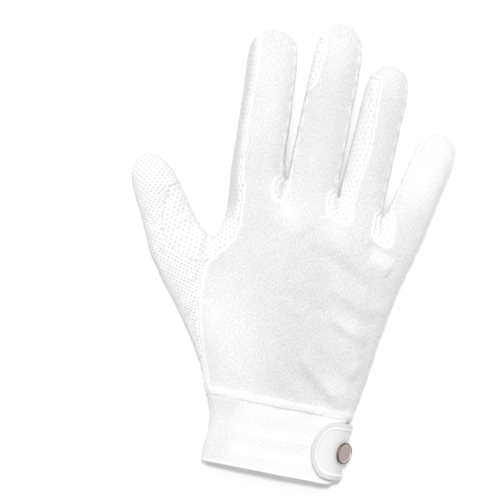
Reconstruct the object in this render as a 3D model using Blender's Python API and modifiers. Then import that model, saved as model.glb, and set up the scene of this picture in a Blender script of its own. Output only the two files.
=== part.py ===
"""A white cotton riding glove for the right hand, lying on its palm, with the back of the hand up.

X runs from the thumb's side to the little finger's, Y from the cuff to the fingertips, Z up.
"""

import math

import bmesh
import bpy
from mathutils import Vector

MM = 0.001

# Driving sizes of the hand
PALM_LENGTH = 110 * MM
PALM_WIDTH = 100 * MM
PALM_DEPTH = 17.5 * MM
INDEX_LENGTH = 78 * MM
MIDDLE_LENGTH = 87 * MM
RING_LENGTH = 76 * MM
LITTLE_LENGTH = 54 * MM
FINGER_DEPTH = 13 * MM
THUMB_LENGTH = 72 * MM
THUMB_WIDTH = 22 * MM
THUMB_DEPTH = 13.5 * MM
THUMB_LEAN = math.radians(33)
CLOTH = 1.2 * MM
SEAM_GAP = 0.5 * MM
TONGUE_WIDTH = 10 * MM
FOLD_HEIGHT = 1.8 * MM
FOLD_WIDTH = 4.5 * MM

# The four fingers stand side by side across the palm, so the palm's width sets theirs
FINGER_WIDTH = 0.235 * PALM_WIDTH

# Driving sizes of the cuff and its closure
CUFF_WIDTH = 68 * MM
CUFF_HEIGHT = 33 * MM
CUFF_DEPTH = 12.5 * MM
CUFF_CROWN = 1.5 * MM
CUFF_CORNER = 7 * MM
BAND = 1.5 * MM
TAB = 1.8 * MM
TAB_WIDTH = 29 * MM
TAB_TOP = 1.6 * MM
TAB_REACH = 18 * MM
TAB_ROUND = 10.5 * MM
TAB_ROOT = 9 * MM
BUTTON_WIDTH = 11 * MM
BUTTON_HEIGHT = 2 * MM
BUTTON_ALONG = 4.6 * MM
STUD_WIDTH = 4 * MM
STUD_HEIGHT = 1.2 * MM
CLEARANCE = 0.3 * MM

# The section of a lying glove: a flat sole, sides that bulge at MIDDLE_SHARE of the depth, a crowned top
MIDDLE_SHARE = 0.42
CROWN_POWER = 2.3
SOLE_INSET = 0.2

# Subdivision draws a coarse cage in, so each section of the cage is made larger by this much
SWELL = 1.07

# At a sharp corner of a cut, the seam gap is kept by moving the point no further than the gap over this
SHARPEST_CORNER = 0.5

# The cloth cuts that share the form
BACK, PALM, THUMB, GUSSET, FOURCHETTE = 0, 1, 2, 3, 4

# Fingers from the thumb's side. Root across and up are shares of PALM_WIDTH and PALM_LENGTH,
# width and depth are shares of FINGER_WIDTH and FINGER_DEPTH, lean is in degrees towards the little finger.
FINGER_COLUMNS = ("name", "length", "across", "up", "width", "depth", "lean")
FINGERS = [
    ("index", INDEX_LENGTH, 0.128, 1.000, 1.08, 1.00, -3.6),
    ("middle", MIDDLE_LENGTH, 0.411, 1.000, 1.03, 1.00, 0.0),
    ("ring", RING_LENGTH, 0.656, 0.955, 0.95, 0.97, 2.6),
    ("little", LITTLE_LENGTH, 0.897, 0.895, 0.86, 0.90, 12.4),
]

# One row for each ring of a finger: how far along it, and its width and depth there
RING_COLUMNS = ("along", "width", "depth")
FINGER_RINGS = [
    (0.00, 1.08, 1.06),
    (0.17, 1.05, 1.02),
    (0.38, 1.01, 1.00),
    (0.59, 1.00, 0.97),
    (0.79, 1.00, 0.90),
    (0.93, 0.84, 0.74),
]
TIP_ALONG = 1.035

# How far in from a finger's edge its upper seam shows, as a share of its half width, at each ring
SEAM_SHOWS = {
    "index_left": (0.50, 0.44, 0.40, 0.48, 0.50, 0.20),
    "index_right": (0.30, 0.22, 0.07, 0.06, 0.06, 0.08),
    "middle_left": (0.10, 0.06, 0.06, 0.20, 0.26, 0.12),
    "middle_right": (0.26, 0.10, 0.06, 0.06, 0.06, 0.08),
    "ring_left": (0.60, 0.72, 0.92, 0.78, 0.66, 0.44),
    "ring_right": (0.12, 0.08, 0.08, 0.08, 0.08, 0.10),
    "little_left": (0.42, 0.14, 0.08, 0.08, 0.08, 0.10),
    "little_right": (0.10, 0.10, 0.10, 0.10, 0.10, 0.12),
}

# The crotches between the fingers. Across and up are shares of PALM_WIDTH and PALM_LENGTH, the tongue of
# the strip between two fingers reaches down to foot_across and foot_up and has a share of TONGUE_WIDTH.
CROTCH_COLUMNS = ("across", "up", "foot_across", "foot_up", "width")
CROTCHES = [
    (0.284, 1.022, 0.275, 0.935, 0.36),
    (0.542, 0.985, 0.582, 0.888, 0.85),
    (0.778, 0.938, 0.806, 0.795, 0.80),
]

# How much of the way back to its row a point lies, at a tongue's foot, one column out and two columns out
FOOT_ROUND = (0.0, 0.45, 1.0)

# Rows of the palm from the cuff seam up. Up is a share of the way to the finger roots. Cuff is how far a
# row follows the width of the cuff instead of the palm's, and the radial seam, the radial edge and the
# ulnar edge are shares of that width. Depth is a share of the way from the cuff's depth to the palm's.
ROW_COLUMNS = ("up", "cuff", "seam", "radial", "ulnar", "depth")
PALM_ROWS = [
    (0.00, 1.00, 0.132, 0.125, 1.213, 0.00),
    (0.14, 0.50, 0.042, 0.036, 1.018, 0.50),
    (0.29, 0.15, -0.028, -0.063, 0.921, 0.90),
    (0.44, 0.00, -0.060, -0.090, 0.895, 1.00),
    (0.59, 0.00, -0.066, -0.090, 0.918, 1.00),
    (0.70, 0.00, 0.090, -0.055, 0.938, 1.00),
    (0.81, 0.00, 0.090, -0.022, 0.962, 0.95),
    (0.91, 0.00, 0.072, -0.018, 0.988, 0.80),
]
THUMB_ROWS = (1, 5)

# The roots of the index and the little finger on their outer sides, as shares of PALM_LENGTH, and the
# places of a finger's three columns between the two crotches beside it
OUTER_ROOTS_UP = (0.985, 0.875)
ROOT_COLUMNS = (0.2, 0.5, 0.8)

# The columns draw in towards the tongues from this share of the palm's length, over this share of it
GATHER_FROM = 0.45
GATHER_OVER = 0.46

# Rings of the thumb from its set-in base to the tip. Right and left are the two edges: up is along the
# thumb's line in shares of THUMB_LENGTH, out is across it in shares of THUMB_WIDTH. Gusset is the share
# of the ring, from the right edge, that the leaf-shaped gusset takes.
THUMB_COLUMNS = ("right_up", "right_out", "left_up", "left_out", "gusset", "depth")
THUMB_RINGS = [
    (0.320, 0.66, -0.22, -0.53, 0.32, 1.05),
    (0.360, 0.64, 0.06, -0.60, 0.56, 1.05),
    (0.420, 0.61, 0.30, -0.68, 0.76, 1.04),
    (0.540, 0.59, 0.53, -0.56, 0.80, 1.02),
    (0.710, 0.55, 0.71, -0.50, 0.14, 1.00),
    (0.900, 0.42, 0.90, -0.46, 0.20, 0.84),
]
GUSSET_RINGS = 5

# The thumb's line starts at this share of PALM_WIDTH and PALM_LENGTH and ends at this share of THUMB_LENGTH
THUMB_FOOT = (-0.063, 0.47)
THUMB_TIP = 1.04

# Shares that place the thumb's points: the gusset's inner column in the gusset, the last column on top, the
# tip ridge's ends on the way to the tip, and the rise of the corner between thumb and index finger
GUSSET_COLUMN = 0.4
LAST_COLUMN = 0.94
RIDGE_ENDS = 0.35
CORNER_RISE = 0.75
BELOW_COLUMNS = 5

# Soft folds that run across the back of the hand, in shares of PALM_WIDTH and PALM_LENGTH from the
# radial edge and the cuff seam, with shares of FOLD_HEIGHT and FOLD_WIDTH
FOLD_COLUMNS = ("from_across", "from_up", "to_across", "to_up", "height", "width")
FOLDS = [
    (0.57, 0.44, 0.79, 0.38, 1.00, 1.00),
    (0.62, 0.17, 0.79, 0.05, 0.90, 1.10),
    (0.68, 0.57, 0.81, 0.50, 0.60, 0.90),
    (0.38, 0.47, 0.47, 0.45, 0.35, 0.90),
    (0.78, 0.73, 0.86, 0.69, 0.80, 1.20),
    (0.30, 0.86, 0.40, 0.80, 0.50, 1.20),
]

# The cuff band from its top down, with its two edges in shares of CUFF_WIDTH from the radial one, which
# itself lies at the share CUFF_FROM
BAND_COLUMNS = ("down", "radial", "ulnar")
BAND_ROWS = [
    (0.00, -0.040, 1.000),
    (0.06, -0.040, 1.000),
    (0.28, 0.000, 0.995),
    (0.50, 0.010, 0.990),
    (0.75, -0.005, 0.988),
    (1.00, 0.000, 0.985),
]
CUFF_FROM = 0.184
BAND_TOP = SEAM_GAP / 2 - CLEARANCE

# Profiles of the button and the stud from the top of the axis, in shares of the half width and the height
PROFILE_COLUMNS = ("out", "up")
BUTTON_PROFILE = [(0, 0.72), (0.72, 0.72), (0.82, 1), (0.93, 0.92), (1, 0.55), (0.95, 0), (0, 0)]
STUD_PROFILE = [(0, 1), (0.5, 1), (1, 0.6), (1, 0), (0, 0)]

# How many faces an arc or a straight run of the cuff is made of
ARC_STEPS = 6
FLAT_STEPS = 10
TAB_STEPS_ALONG = 14
TAB_STEPS_ROUND = 6
TAB_STEPS_ACROSS = 8
TAB_LAST_ANGLE = math.radians(84)
ROUND_STEPS = 16


def row(columns, values):
    """One row of a table, read by its column names."""
    return dict(zip(columns, values))


def clear_scene():
    for thing in list(bpy.data.objects):
        bpy.data.objects.remove(thing)


def new_collection(name, guides=False):
    collection = bpy.data.collections.new(name)
    bpy.context.scene.collection.children.link(collection)
    collection.hide_render = guides
    return collection


def material(name, colour, roughness, metallic=0.0):
    made = bpy.data.materials.new(name)
    made.use_nodes = True
    shader = made.node_tree.nodes["Principled BSDF"]
    shader.inputs["Base Color"].default_value = (*colour, 1)
    shader.inputs["Roughness"].default_value = roughness
    shader.inputs["Metallic"].default_value = metallic
    return made


def new_object(name, mesh, collection, finish=None):
    made = bpy.data.objects.new(name, mesh)
    collection.objects.link(made)
    if finish:
        mesh.materials.clear()
        mesh.materials.append(finish)
    mesh.shade_smooth()
    return made


def crown(share, depth):
    """Height of the upper side at a share of the half width out from the middle."""
    middle = MIDDLE_SHARE * depth
    return middle + (depth - middle) * (1 - min(abs(share), 1) ** CROWN_POWER) ** (1 / CROWN_POWER)


def blend(start, end, share):
    return start + (end - start) * share


def ease(share):
    share = min(max(share, 0), 1)
    return share * share * (3 - 2 * share)


class Cage:
    """The coarse closed surface of the hand, whose faces carry the cut of cloth that they belong to."""

    def __init__(self):
        self.mesh = bmesh.new()

    def point(self, x, y, z):
        return self.mesh.verts.new((x, y, z))

    def quad(self, corners, cut):
        self.mesh.faces.new(corners).material_index = cut

    def strip(self, lower, upper, cuts):
        """Joins two rows of points, face by face, each face with its own cut."""
        for place, cut in enumerate(cuts):
            self.quad((lower[place], lower[place + 1], upper[place + 1], upper[place]), cut)


def finger_point(finger, along, out, height):
    """A place in a finger: along it and out from its middle line towards the little finger's side."""
    lean = math.radians(finger["lean"])
    x = finger["across"] * PALM_WIDTH + along * math.sin(lean) + out * math.cos(lean)
    y = finger["up"] * PALM_LENGTH + along * math.cos(lean) - out * math.sin(lean)
    return x, y, height


def finger_ring(cage, finger, number, left=None, right=None):
    """Eight points round a finger: three on top, three below and one at each side."""
    ring = row(RING_COLUMNS, FINGER_RINGS[number])
    along = ring["along"] * finger["length"]
    half = SWELL * ring["width"] * finger["width"] * FINGER_WIDTH / 2
    depth = SWELL * ring["depth"] * finger["depth"] * FINGER_DEPTH
    left_seam = 1 - SEAM_SHOWS[finger["name"] + "_left"][number]
    right_seam = 1 - SEAM_SHOWS[finger["name"] + "_right"][number]
    middle = (right_seam - left_seam) / 2
    top = [
        cage.point(*finger_point(finger, along, share * half, crown(share, depth)))
        for share in (-left_seam, middle, right_seam)
    ]
    sole = 1 - SOLE_INSET
    below = [
        cage.point(*finger_point(finger, along, share * half, 0)) for share in (-sole, 0, sole)
    ]
    side = MIDDLE_SHARE * depth
    left = left or cage.point(*finger_point(finger, along, -half, side))
    right = right or cage.point(*finger_point(finger, along, half, side))
    return {"left": left, "right": right, "top": top, "below": below}


def loop_of(ring):
    """A ring's points in order: over the top from left to right, then back below."""
    return [ring["left"], *ring["top"], ring["right"], *reversed(ring["below"])]


def close_tip(cage, ring, ridge, cuts):
    """Closes a ring of points with faces on a short ridge that joins its two side points."""
    spine = [ring["left"], *ridge, ring["right"]]
    for side, cut in zip(("top", "below"), cuts):
        edge = [ring["left"], *ring[side], ring["right"]]
        for place in range(len(spine) - 1):
            low = 2 * place
            corners = [spine[place], edge[low], edge[low + 1], edge[low + 2], spine[place + 1]]
            corners = list(dict.fromkeys(corners))
            if side == "below":
                corners.reverse()
            cage.quad(corners, cut)


def join_rings(cage, lower, upper, cuts):
    """Joins two rings all the way round."""
    low = loop_of(lower)
    high = loop_of(upper)
    count = len(low)
    for place in range(count):
        after = (place + 1) % count
        cage.quad((low[place], low[after], high[after], high[place]), cuts[place])


def add_finger(cage, finger, root, left_cut, right_cut):
    """Builds a finger on its root ring, with its side strips in their own cuts."""
    rings = [root]
    for number in range(1, len(FINGER_RINGS)):
        rings.append(finger_ring(cage, finger, number))
    for number in range(1, len(rings)):
        lower_right = PALM if right_cut == BACK else right_cut
        cuts = [left_cut, BACK, BACK, right_cut, lower_right, PALM, PALM, left_cut]
        join_rings(cage, rings[number - 1], rings[number], cuts)
    depth = SWELL * finger["depth"] * FINGER_DEPTH * FINGER_RINGS[-1][2]
    tip = finger_point(finger, TIP_ALONG * finger["length"], 0, MIDDLE_SHARE * depth)
    close_tip(cage, rings[-1], [cage.point(*tip)], (BACK, PALM))


def palm_height(x, left, right, depth):
    """Height of the palm's upper side at x, between its two edges."""
    middle = (left + right) / 2
    return crown((x - middle) / ((right - left) / 2), depth)


def root_heights():
    """How far up each column of the palm reaches at the finger roots, from the thumb's side on."""
    crotches = [row(CROTCH_COLUMNS, values) for values in CROTCHES]
    edges = [OUTER_ROOTS_UP[0], *(crotch["up"] for crotch in crotches), OUTER_ROOTS_UP[1]]
    heights = []
    for number in range(len(FINGERS)):
        heights += [blend(edges[number], edges[number + 1], share) for share in ROOT_COLUMNS]
        if number < len(crotches):
            heights.append(crotches[number]["up"])
    return heights


def palm_rows(cage):
    """The palm's rows of points from the cuff seam to just below the finger roots."""
    heights = root_heights()
    last = len(heights) - 1
    inset = SOLE_INSET * FINGER_WIDTH / 2
    rows = []
    for number, values in enumerate(PALM_ROWS):
        line = row(ROW_COLUMNS, values)
        span = blend(PALM_WIDTH, CUFF_WIDTH, line["cuff"])
        left = line["radial"] * span
        right = line["ulnar"] * span
        seam = line["seam"] * span
        far_seam = right - SEAM_SHOWS["little_right"][0] * FINGER_WIDTH / 2
        depth = SWELL * blend(CUFF_DEPTH + CUFF_CROWN, PALM_DEPTH, line["depth"])
        gather = ease((line["up"] - GATHER_FROM) / GATHER_OVER)
        top = []
        below = []
        for column, height in enumerate(heights):
            x = blend(seam, far_seam, column / last)
            y = line["up"] * height * PALM_LENGTH
            if 0 < column < last:
                x = blend(x, foot_across(column, seam, far_seam), gather)
            if values == PALM_ROWS[-1]:
                y = foot_up(column, y)
            top.append(cage.point(x, y, palm_height(x, left, right, depth)))
            below.append(cage.point(min(max(x, left + inset), right - inset), y, 0))
        side = MIDDLE_SHARE * depth
        inside_hole = THUMB_ROWS[0] < number < THUMB_ROWS[1]
        left_point = None if inside_hole else cage.point(left, line["up"] * heights[0] * PALM_LENGTH, side)
        right_point = cage.point(right, line["up"] * heights[-1] * PALM_LENGTH, side)
        rows.append({"left": left_point, "right": right_point, "top": top, "below": below})
    return rows


def foot_across(column, seam, far_seam):
    """Where a column lies across the palm's last row: at a tongue's middle or edge, or midway."""
    crotches = [row(CROTCH_COLUMNS, values) for values in CROTCHES]
    number, place = divmod(column, 4)
    left = seam
    right = far_seam
    if number > 0:
        before = crotches[number - 1]
        left = before["foot_across"] * PALM_WIDTH + before["width"] * TONGUE_WIDTH / 2
    if number < len(crotches):
        after = crotches[number]
        middle = after["foot_across"] * PALM_WIDTH
        right = middle - after["width"] * TONGUE_WIDTH / 2
    return (left, (left + right) / 2, right)[place] if place < 3 else middle


def foot_up(column, up):
    """How far up a column lies in the palm's last row, where each tongue's foot is rounded."""
    nearest = min(range(len(CROTCHES)), key=lambda number: abs(column - (4 * number + 3)))
    foot = row(CROTCH_COLUMNS, CROTCHES[nearest])["foot_up"] * PALM_LENGTH
    steps = abs(column - (4 * nearest + 3))
    return blend(foot, up, FOOT_ROUND[min(steps, len(FOOT_ROUND) - 1)])


def add_palm(cage):
    """Joins the palm's rows, leaving the thumb's hole, and hands back the last row."""
    rows = palm_rows(cage)
    columns = len(rows[0]["top"]) - 1
    first, last = THUMB_ROWS
    for number in range(1, len(rows)):
        low = rows[number - 1]
        high = rows[number]
        cage.strip(low["top"], high["top"], [BACK] * columns)
        cage.strip(high["below"], low["below"], [PALM] * columns)
        cage.quad((low["top"][-1], low["right"], high["right"], high["top"][-1]), BACK)
        cage.quad((low["right"], low["below"][-1], high["below"][-1], high["right"]), PALM)
        if not first < number <= last:
            cage.quad((low["left"], low["top"][0], high["top"][0], high["left"]), PALM)
            cage.quad((low["below"][0], low["left"], high["left"], high["below"][0]), PALM)
    return rows


def add_fingers(cage, palm):
    """Sets the four fingers on the palm's last row, with a crotch point shared by each two."""
    fingers = [row(FINGER_COLUMNS, values) for values in FINGERS]
    side = MIDDLE_SHARE * SWELL * FINGER_DEPTH
    crotches = []
    for values in CROTCHES:
        crotch = row(CROTCH_COLUMNS, values)
        crotches.append(cage.point(crotch["across"] * PALM_WIDTH, crotch["up"] * PALM_LENGTH, side))
    roots = []
    for number, finger in enumerate(fingers):
        left = crotches[number - 1] if number > 0 else None
        right = crotches[number] if number < len(crotches) else None
        roots.append(finger_ring(cage, finger, 0, left, right))
    for number, root in enumerate(roots):
        low = 4 * number
        cage.strip(palm["top"][low : low + 3], root["top"], (BACK, BACK))
        cage.strip(root["below"][::-1], palm["below"][low : low + 3][::-1], (PALM, PALM))
        web = FOURCHETTE + number
        left_cut = PALM if number == 0 else web - 1
        right_cut = web if number < len(crotches) else BACK
        if number < len(crotches):
            far = roots[number + 1]
            above = (root["top"][2], root["right"], far["top"][0])
            cage.strip(palm["top"][low + 2 : low + 5], above, (web, web))
            under = (far["below"][0], root["right"], root["below"][2])
            cage.strip(under, palm["below"][low + 2 : low + 5][::-1], (web, web))
        add_finger(cage, fingers[number], root, left_cut, right_cut)
    index = roots[0]
    cage.quad((palm["left"], palm["top"][0], index["top"][0], index["left"]), PALM)
    cage.quad((palm["below"][0], palm["left"], index["left"], index["below"][0]), PALM)
    little = roots[-1]
    cage.quad((palm["top"][-1], palm["right"], little["right"], little["top"][-1]), BACK)
    cage.quad((palm["right"], palm["below"][-1], little["below"][-1], little["right"]), PALM)


def thumb_place(up, out):
    """A place on the thumb's plan: up along its line and out towards the index finger, from its foot."""
    x = THUMB_FOOT[0] * PALM_WIDTH - up * math.sin(THUMB_LEAN) + out * math.cos(THUMB_LEAN)
    y = THUMB_FOOT[1] * PALM_LENGTH + up * math.cos(THUMB_LEAN) + out * math.sin(THUMB_LEAN)
    return Vector((x, y))


def thumb_ring(cage, values):
    """Twelve points round the thumb: five on top, five below and one at each edge."""
    ring = row(THUMB_COLUMNS, values)
    right = thumb_place(ring["right_up"] * THUMB_LENGTH, ring["right_out"] * THUMB_WIDTH)
    left = thumb_place(ring["left_up"] * THUMB_LENGTH, ring["left_out"] * THUMB_WIDTH)
    centre = (left + right) / 2
    reach = (left - right) / 2 * SWELL
    depth = SWELL * ring["depth"] * THUMB_DEPTH
    gusset = ring["gusset"]
    shares = [GUSSET_COLUMN * gusset] + [blend(gusset, LAST_COLUMN, step / 3) for step in range(4)]

    def place(share, height):
        spot = centre + reach * (2 * share - 1)
        return cage.point(spot.x, spot.y, height)

    top = [place(share, crown(2 * share - 1, depth)) for share in shares]
    below = [place((number + 0.5) / BELOW_COLUMNS, 0) for number in range(BELOW_COLUMNS)]
    side = MIDDLE_SHARE * depth
    return {"left": place(0, side), "right": place(1, side), "top": top, "below": below}


def add_thumb(cage, rows):
    """Sets the thumb in the hole on the radial side, where its first ring is the hole's own edge."""
    first, last = THUMB_ROWS
    hole = rows[first : last + 1]
    corner = hole[-1]["left"]
    seam = hole[-2]["top"][0]
    between = (corner.co + seam.co) / 2
    between.z = blend(corner.co.z, seam.co.z, CORNER_RISE)
    web = cage.point(*between)
    cage.quad((seam, hole[-1]["top"][0], corner, web), PALM)
    ring = {
        "left": corner,
        "right": hole[0]["left"],
        "top": [web] + [line["top"][0] for line in reversed(hole[:-1])],
        "below": [line["below"][0] for line in reversed(hole)],
    }
    for number, values in enumerate(THUMB_RINGS):
        following = thumb_ring(cage, values)
        leaf = GUSSET if number < GUSSET_RINGS else THUMB
        join_rings(cage, following, ring, [leaf, leaf] + [THUMB] * 10)
        ring = following
    last_ring = row(THUMB_COLUMNS, THUMB_RINGS[-1])
    ridge = []
    for number in range(1, 4):
        share = 1 - number / 2
        bow = 1 - share * share
        up = blend(last_ring["right_up"], THUMB_TIP, blend(RIDGE_ENDS, 1, bow)) * THUMB_LENGTH
        spot = thumb_place(up, share * last_ring["right_out"] * THUMB_WIDTH)
        height = MIDDLE_SHARE * SWELL * last_ring["depth"] * THUMB_DEPTH
        ridge.append(cage.point(spot.x, spot.y, height))
    close_thumb(cage, ring, ridge)


def close_thumb(cage, ring, ridge):
    """Closes the thumb's tip on a ridge of three points."""
    spine = [ring["left"], *ridge, ring["right"]]
    for side in ("top", "below"):
        edge = [ring["left"], *ring[side], ring["right"]]
        patches = [
            (spine[0], edge[1], edge[2], spine[1]),
            (spine[1], edge[2], edge[3], spine[2]),
            (spine[2], edge[3], edge[4], spine[3]),
            (spine[3], edge[4], edge[5], edge[6]),
        ]
        for corners in patches:
            ordered = corners if side == "below" else tuple(reversed(corners))
            cage.quad(ordered, THUMB)


def lift_of_folds(x, y):
    """How far the folds on the back lift the cloth at x, y."""
    lift = 0
    for values in FOLDS:
        fold = row(FOLD_COLUMNS, values)
        start = Vector((fold["from_across"] * PALM_WIDTH, fold["from_up"] * PALM_LENGTH))
        end = Vector((fold["to_across"] * PALM_WIDTH, fold["to_up"] * PALM_LENGTH))
        line = end - start
        offset = Vector((x, y)) - start
        share = min(max(offset.dot(line) / line.length_squared, 0), 1)
        distance = (offset - line * share).length / (fold["width"] * FOLD_WIDTH)
        lift += fold["height"] * FOLD_HEIGHT * math.exp(-distance * distance)
    return lift


def hand_form(guides):
    """The whole hand as one smooth surface, open at the wrist, from the cage by subdivision."""
    cage = Cage()
    rows = add_palm(cage)
    add_fingers(cage, rows[-1])
    add_thumb(cage, rows)
    mesh = bpy.data.meshes.new("hand_cage")
    bmesh.ops.recalc_face_normals(cage.mesh, faces=cage.mesh.faces)
    cage.mesh.to_mesh(mesh)
    cage.mesh.free()
    guide = new_object("hand_cage", mesh, guides)
    guide.hide_render = True
    guide.display_type = "WIRE"
    smooth = guide.modifiers.new("smooth", "SUBSURF")
    smooth.levels = 1
    smooth.render_levels = 1
    form = bpy.data.meshes.new_from_object(guide.evaluated_get(bpy.context.evaluated_depsgraph_get()))
    for vertex in form.vertices:
        if vertex.normal.z > 0:
            vertex.co.z += lift_of_folds(vertex.co.x, vertex.co.y) * vertex.normal.z
        vertex.co.z = max(vertex.co.z, 0)
    return form


def seam_shift(form, vertex, edges):
    """Moves a border point into its own cut, so that it lies half a seam gap from each border edge."""
    normal = form.vertices[vertex].normal
    inward = []
    for start, end, face in edges:
        along = form.vertices[end].co - form.vertices[start].co
        side = normal.cross(along).normalized()
        if side.dot(face.center - form.vertices[start].co) < 0:
            side.negate()
        inward.append(side)
    shift = sum(inward, Vector()).normalized()
    closeness = max(min(shift.dot(out) for out in inward), SHARPEST_CORNER)
    return shift * (SEAM_GAP / 2 / closeness)


def cloth_cut(name, form, cut, finish, parts):
    """One cut of cloth: the form's faces of that cut, a seam gap short all round, with the wall inside."""
    faces = [face for face in form.polygons if face.material_index == cut]
    owners = {}
    for face in faces:
        for key in face.edge_keys:
            owners.setdefault(key, []).append(face)
    border = {}
    for key, around in owners.items():
        if len(around) == 1:
            for vertex in key:
                border.setdefault(vertex, []).append((*key, around[0]))
    made = bmesh.new()
    outer = {}
    inner = {}
    for vertex in sorted({vertex for face in faces for vertex in face.vertices}):
        place = form.vertices[vertex].co.copy()
        inward = -form.vertices[vertex].normal
        if place.y < SEAM_GAP:
            inward.y = 0
        if vertex in border:
            place += seam_shift(form, vertex, border[vertex])
        outer[vertex] = made.verts.new(place)
        inner[vertex] = made.verts.new(place + inward.normalized() * CLOTH)
    for face in faces:
        made.faces.new([outer[vertex] for vertex in face.vertices])
        made.faces.new([inner[vertex] for vertex in reversed(face.vertices)])
        corners = list(face.vertices)
        for place, start in enumerate(corners):
            end = corners[(place + 1) % len(corners)]
            if len(owners[tuple(sorted((start, end)))]) == 1:
                made.faces.new((outer[end], outer[start], inner[start], inner[end]))
    mesh = bpy.data.meshes.new(name)
    made.to_mesh(mesh)
    made.free()
    return new_object(name, mesh, parts, finish)


def band_edges(down):
    """The cuff's two edges at a share of its height below its top."""
    lines = [row(BAND_COLUMNS, values) for values in BAND_ROWS]
    down = min(max(down, 0), 1)
    for above, below in zip(lines, lines[1:]):
        if down <= below["down"]:
            share = (down - above["down"]) / (below["down"] - above["down"])
            radial = blend(above["radial"], below["radial"], share)
            ulnar = blend(above["ulnar"], below["ulnar"], share)
            return [(CUFF_FROM + edge) * CUFF_WIDTH for edge in (radial, ulnar)]


QUARTER = math.pi * CUFF_DEPTH / 4


def cuff_outline(down, along, offset=0.0):
    """A place on the cuff's outline, along it from the ulnar edge: over the back, or under it below zero."""
    radial, ulnar = band_edges(down)
    radius = CUFF_DEPTH / 2
    flat = ulnar - radial - CUFF_DEPTH
    middle = (radial + ulnar) / 2
    if along < -QUARTER:
        x = ulnar - radius + along + QUARTER
        return x, -offset, -math.pi / 2
    if along <= QUARTER:
        centre = ulnar - radius
        angle = along / radius
    elif along < QUARTER + flat:
        x = ulnar - radius - (along - QUARTER)
        lift = CUFF_CROWN * (1 - ((x - middle) / (flat / 2)) ** 2)
        return x, CUFF_DEPTH + lift + offset, math.pi / 2
    elif along <= 3 * QUARTER + flat:
        centre = radial + radius
        angle = (along - flat) / radius
    else:
        x = radial + radius + along - 3 * QUARTER - flat
        return x, -offset, -math.pi / 2
    reach = radius + offset
    return centre + reach * math.cos(angle), radius + reach * math.sin(angle), angle


def surface_mesh(name, grid):
    """An open surface on a grid of points."""
    made = bmesh.new()
    points = [[made.verts.new(place) for place in line] for line in grid]
    for low, high in zip(points, points[1:]):
        for place in range(len(low) - 1):
            made.faces.new((low[place], low[place + 1], high[place + 1], high[place]))
    mesh = bpy.data.meshes.new(name)
    made.to_mesh(mesh)
    made.free()
    return mesh


def give_wall(thing, thickness):
    wall = thing.modifiers.new("wall", "SOLIDIFY")
    wall.thickness = thickness
    wall.offset = -1
    wall.use_even_offset = True


def cuff_band(finish, parts):
    """The woven band, from the little finger's side over the back and round to its end below the tab."""
    radial, ulnar = band_edges(0.5)
    flat = ulnar - radial - CUFF_DEPTH
    stations = [QUARTER * step * 2 / ARC_STEPS for step in range(ARC_STEPS // 2)]
    stations += [QUARTER + flat * step / FLAT_STEPS for step in range(FLAT_STEPS)]
    stations += [QUARTER + flat + 2 * QUARTER * step / ARC_STEPS for step in range(ARC_STEPS)]
    under = flat - TAB_ROOT
    stations += [3 * QUARTER + flat + under * step / FLAT_STEPS for step in range(FLAT_STEPS + 1)]
    grid = []
    for line in BAND_ROWS:
        down = line[0]
        points = []
        for along in stations:
            short = max(CUFF_CORNER - along, 0)
            notch = CUFF_CORNER - math.sqrt(CUFF_CORNER**2 - short**2)
            x, z, _ = cuff_outline(down, along)
            points.append((x, BAND_TOP - down * (CUFF_HEIGHT - notch), z))
        grid.append(points)
    band = new_object("cuff_band", surface_mesh("cuff_band", grid), parts, finish)
    give_wall(band, BAND)


def tab_lift(along):
    """How far the tab's outer face stands off the cuff's outline: most over the stud, not at all below."""
    over_stud = 2 * CLEARANCE + STUD_HEIGHT + TAB
    at_end = CLEARANCE + TAB
    if along <= BUTTON_ALONG:
        return over_stud * ease((along + QUARTER) / QUARTER)
    return blend(over_stud, at_end, ease((along - BUTTON_ALONG) / (tab_end() - BUTTON_ALONG)))


def tab_end():
    """How far along the cuff's outline the tab's round end lies."""
    over_stud = 2 * CLEARANCE + STUD_HEIGHT + TAB
    return QUARTER + TAB_REACH - over_stud - CUFF_DEPTH / 2


def tab_middle():
    return BAND_TOP - TAB_TOP - TAB_WIDTH / 2


def tab_place(along, y):
    """A place on the tab's outer face and the direction in which that face looks."""
    down = (BAND_TOP - y) / CUFF_HEIGHT
    x, z, angle = cuff_outline(down, along, tab_lift(along))
    return Vector((x, y, max(z, 0))), angle


def closure_tab(finish, parts):
    """The tab, from its seam below the hand, round the ulnar edge and over the back to its round end."""
    start = -QUARTER - TAB_ROOT + CLEARANCE
    round_from = tab_end() - TAB_ROUND
    lines = []
    for step in range(TAB_STEPS_ALONG):
        lines.append((blend(start, round_from, step / TAB_STEPS_ALONG), 1))
    for step in range(TAB_STEPS_ROUND + 1):
        angle = TAB_LAST_ANGLE * step / TAB_STEPS_ROUND
        lines.append((round_from + TAB_ROUND * math.sin(angle), math.cos(angle)))
    grid = []
    for along, share in lines:
        points = []
        for step in range(TAB_STEPS_ACROSS + 1):
            out = (step / TAB_STEPS_ACROSS - 0.5) * share * TAB_WIDTH
            points.append(tab_place(along, tab_middle() + out)[0])
        grid.append(points)
    tab = new_object("closure_tab", surface_mesh("closure_tab", grid), parts, finish)
    give_wall(tab, TAB)


def turned(name, profile, width, height, finish, parts):
    """A round piece turned about Z from its profile table."""
    made = bmesh.new()
    points = []
    for values in profile:
        place = row(PROFILE_COLUMNS, values)
        points.append(made.verts.new((place["out"] * width / 2, 0, place["up"] * height)))
    for upper, lower in zip(points, points[1:]):
        made.edges.new((upper, lower))
    mesh = bpy.data.meshes.new(name)
    made.to_mesh(mesh)
    made.free()
    thing = new_object(name, mesh, parts, finish)
    turn = thing.modifiers.new("turn", "SCREW")
    turn.steps = ROUND_STEPS
    turn.render_steps = ROUND_STEPS
    turn.use_merge_vertices = True
    turn.merge_threshold = 0.00001
    return thing


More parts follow.
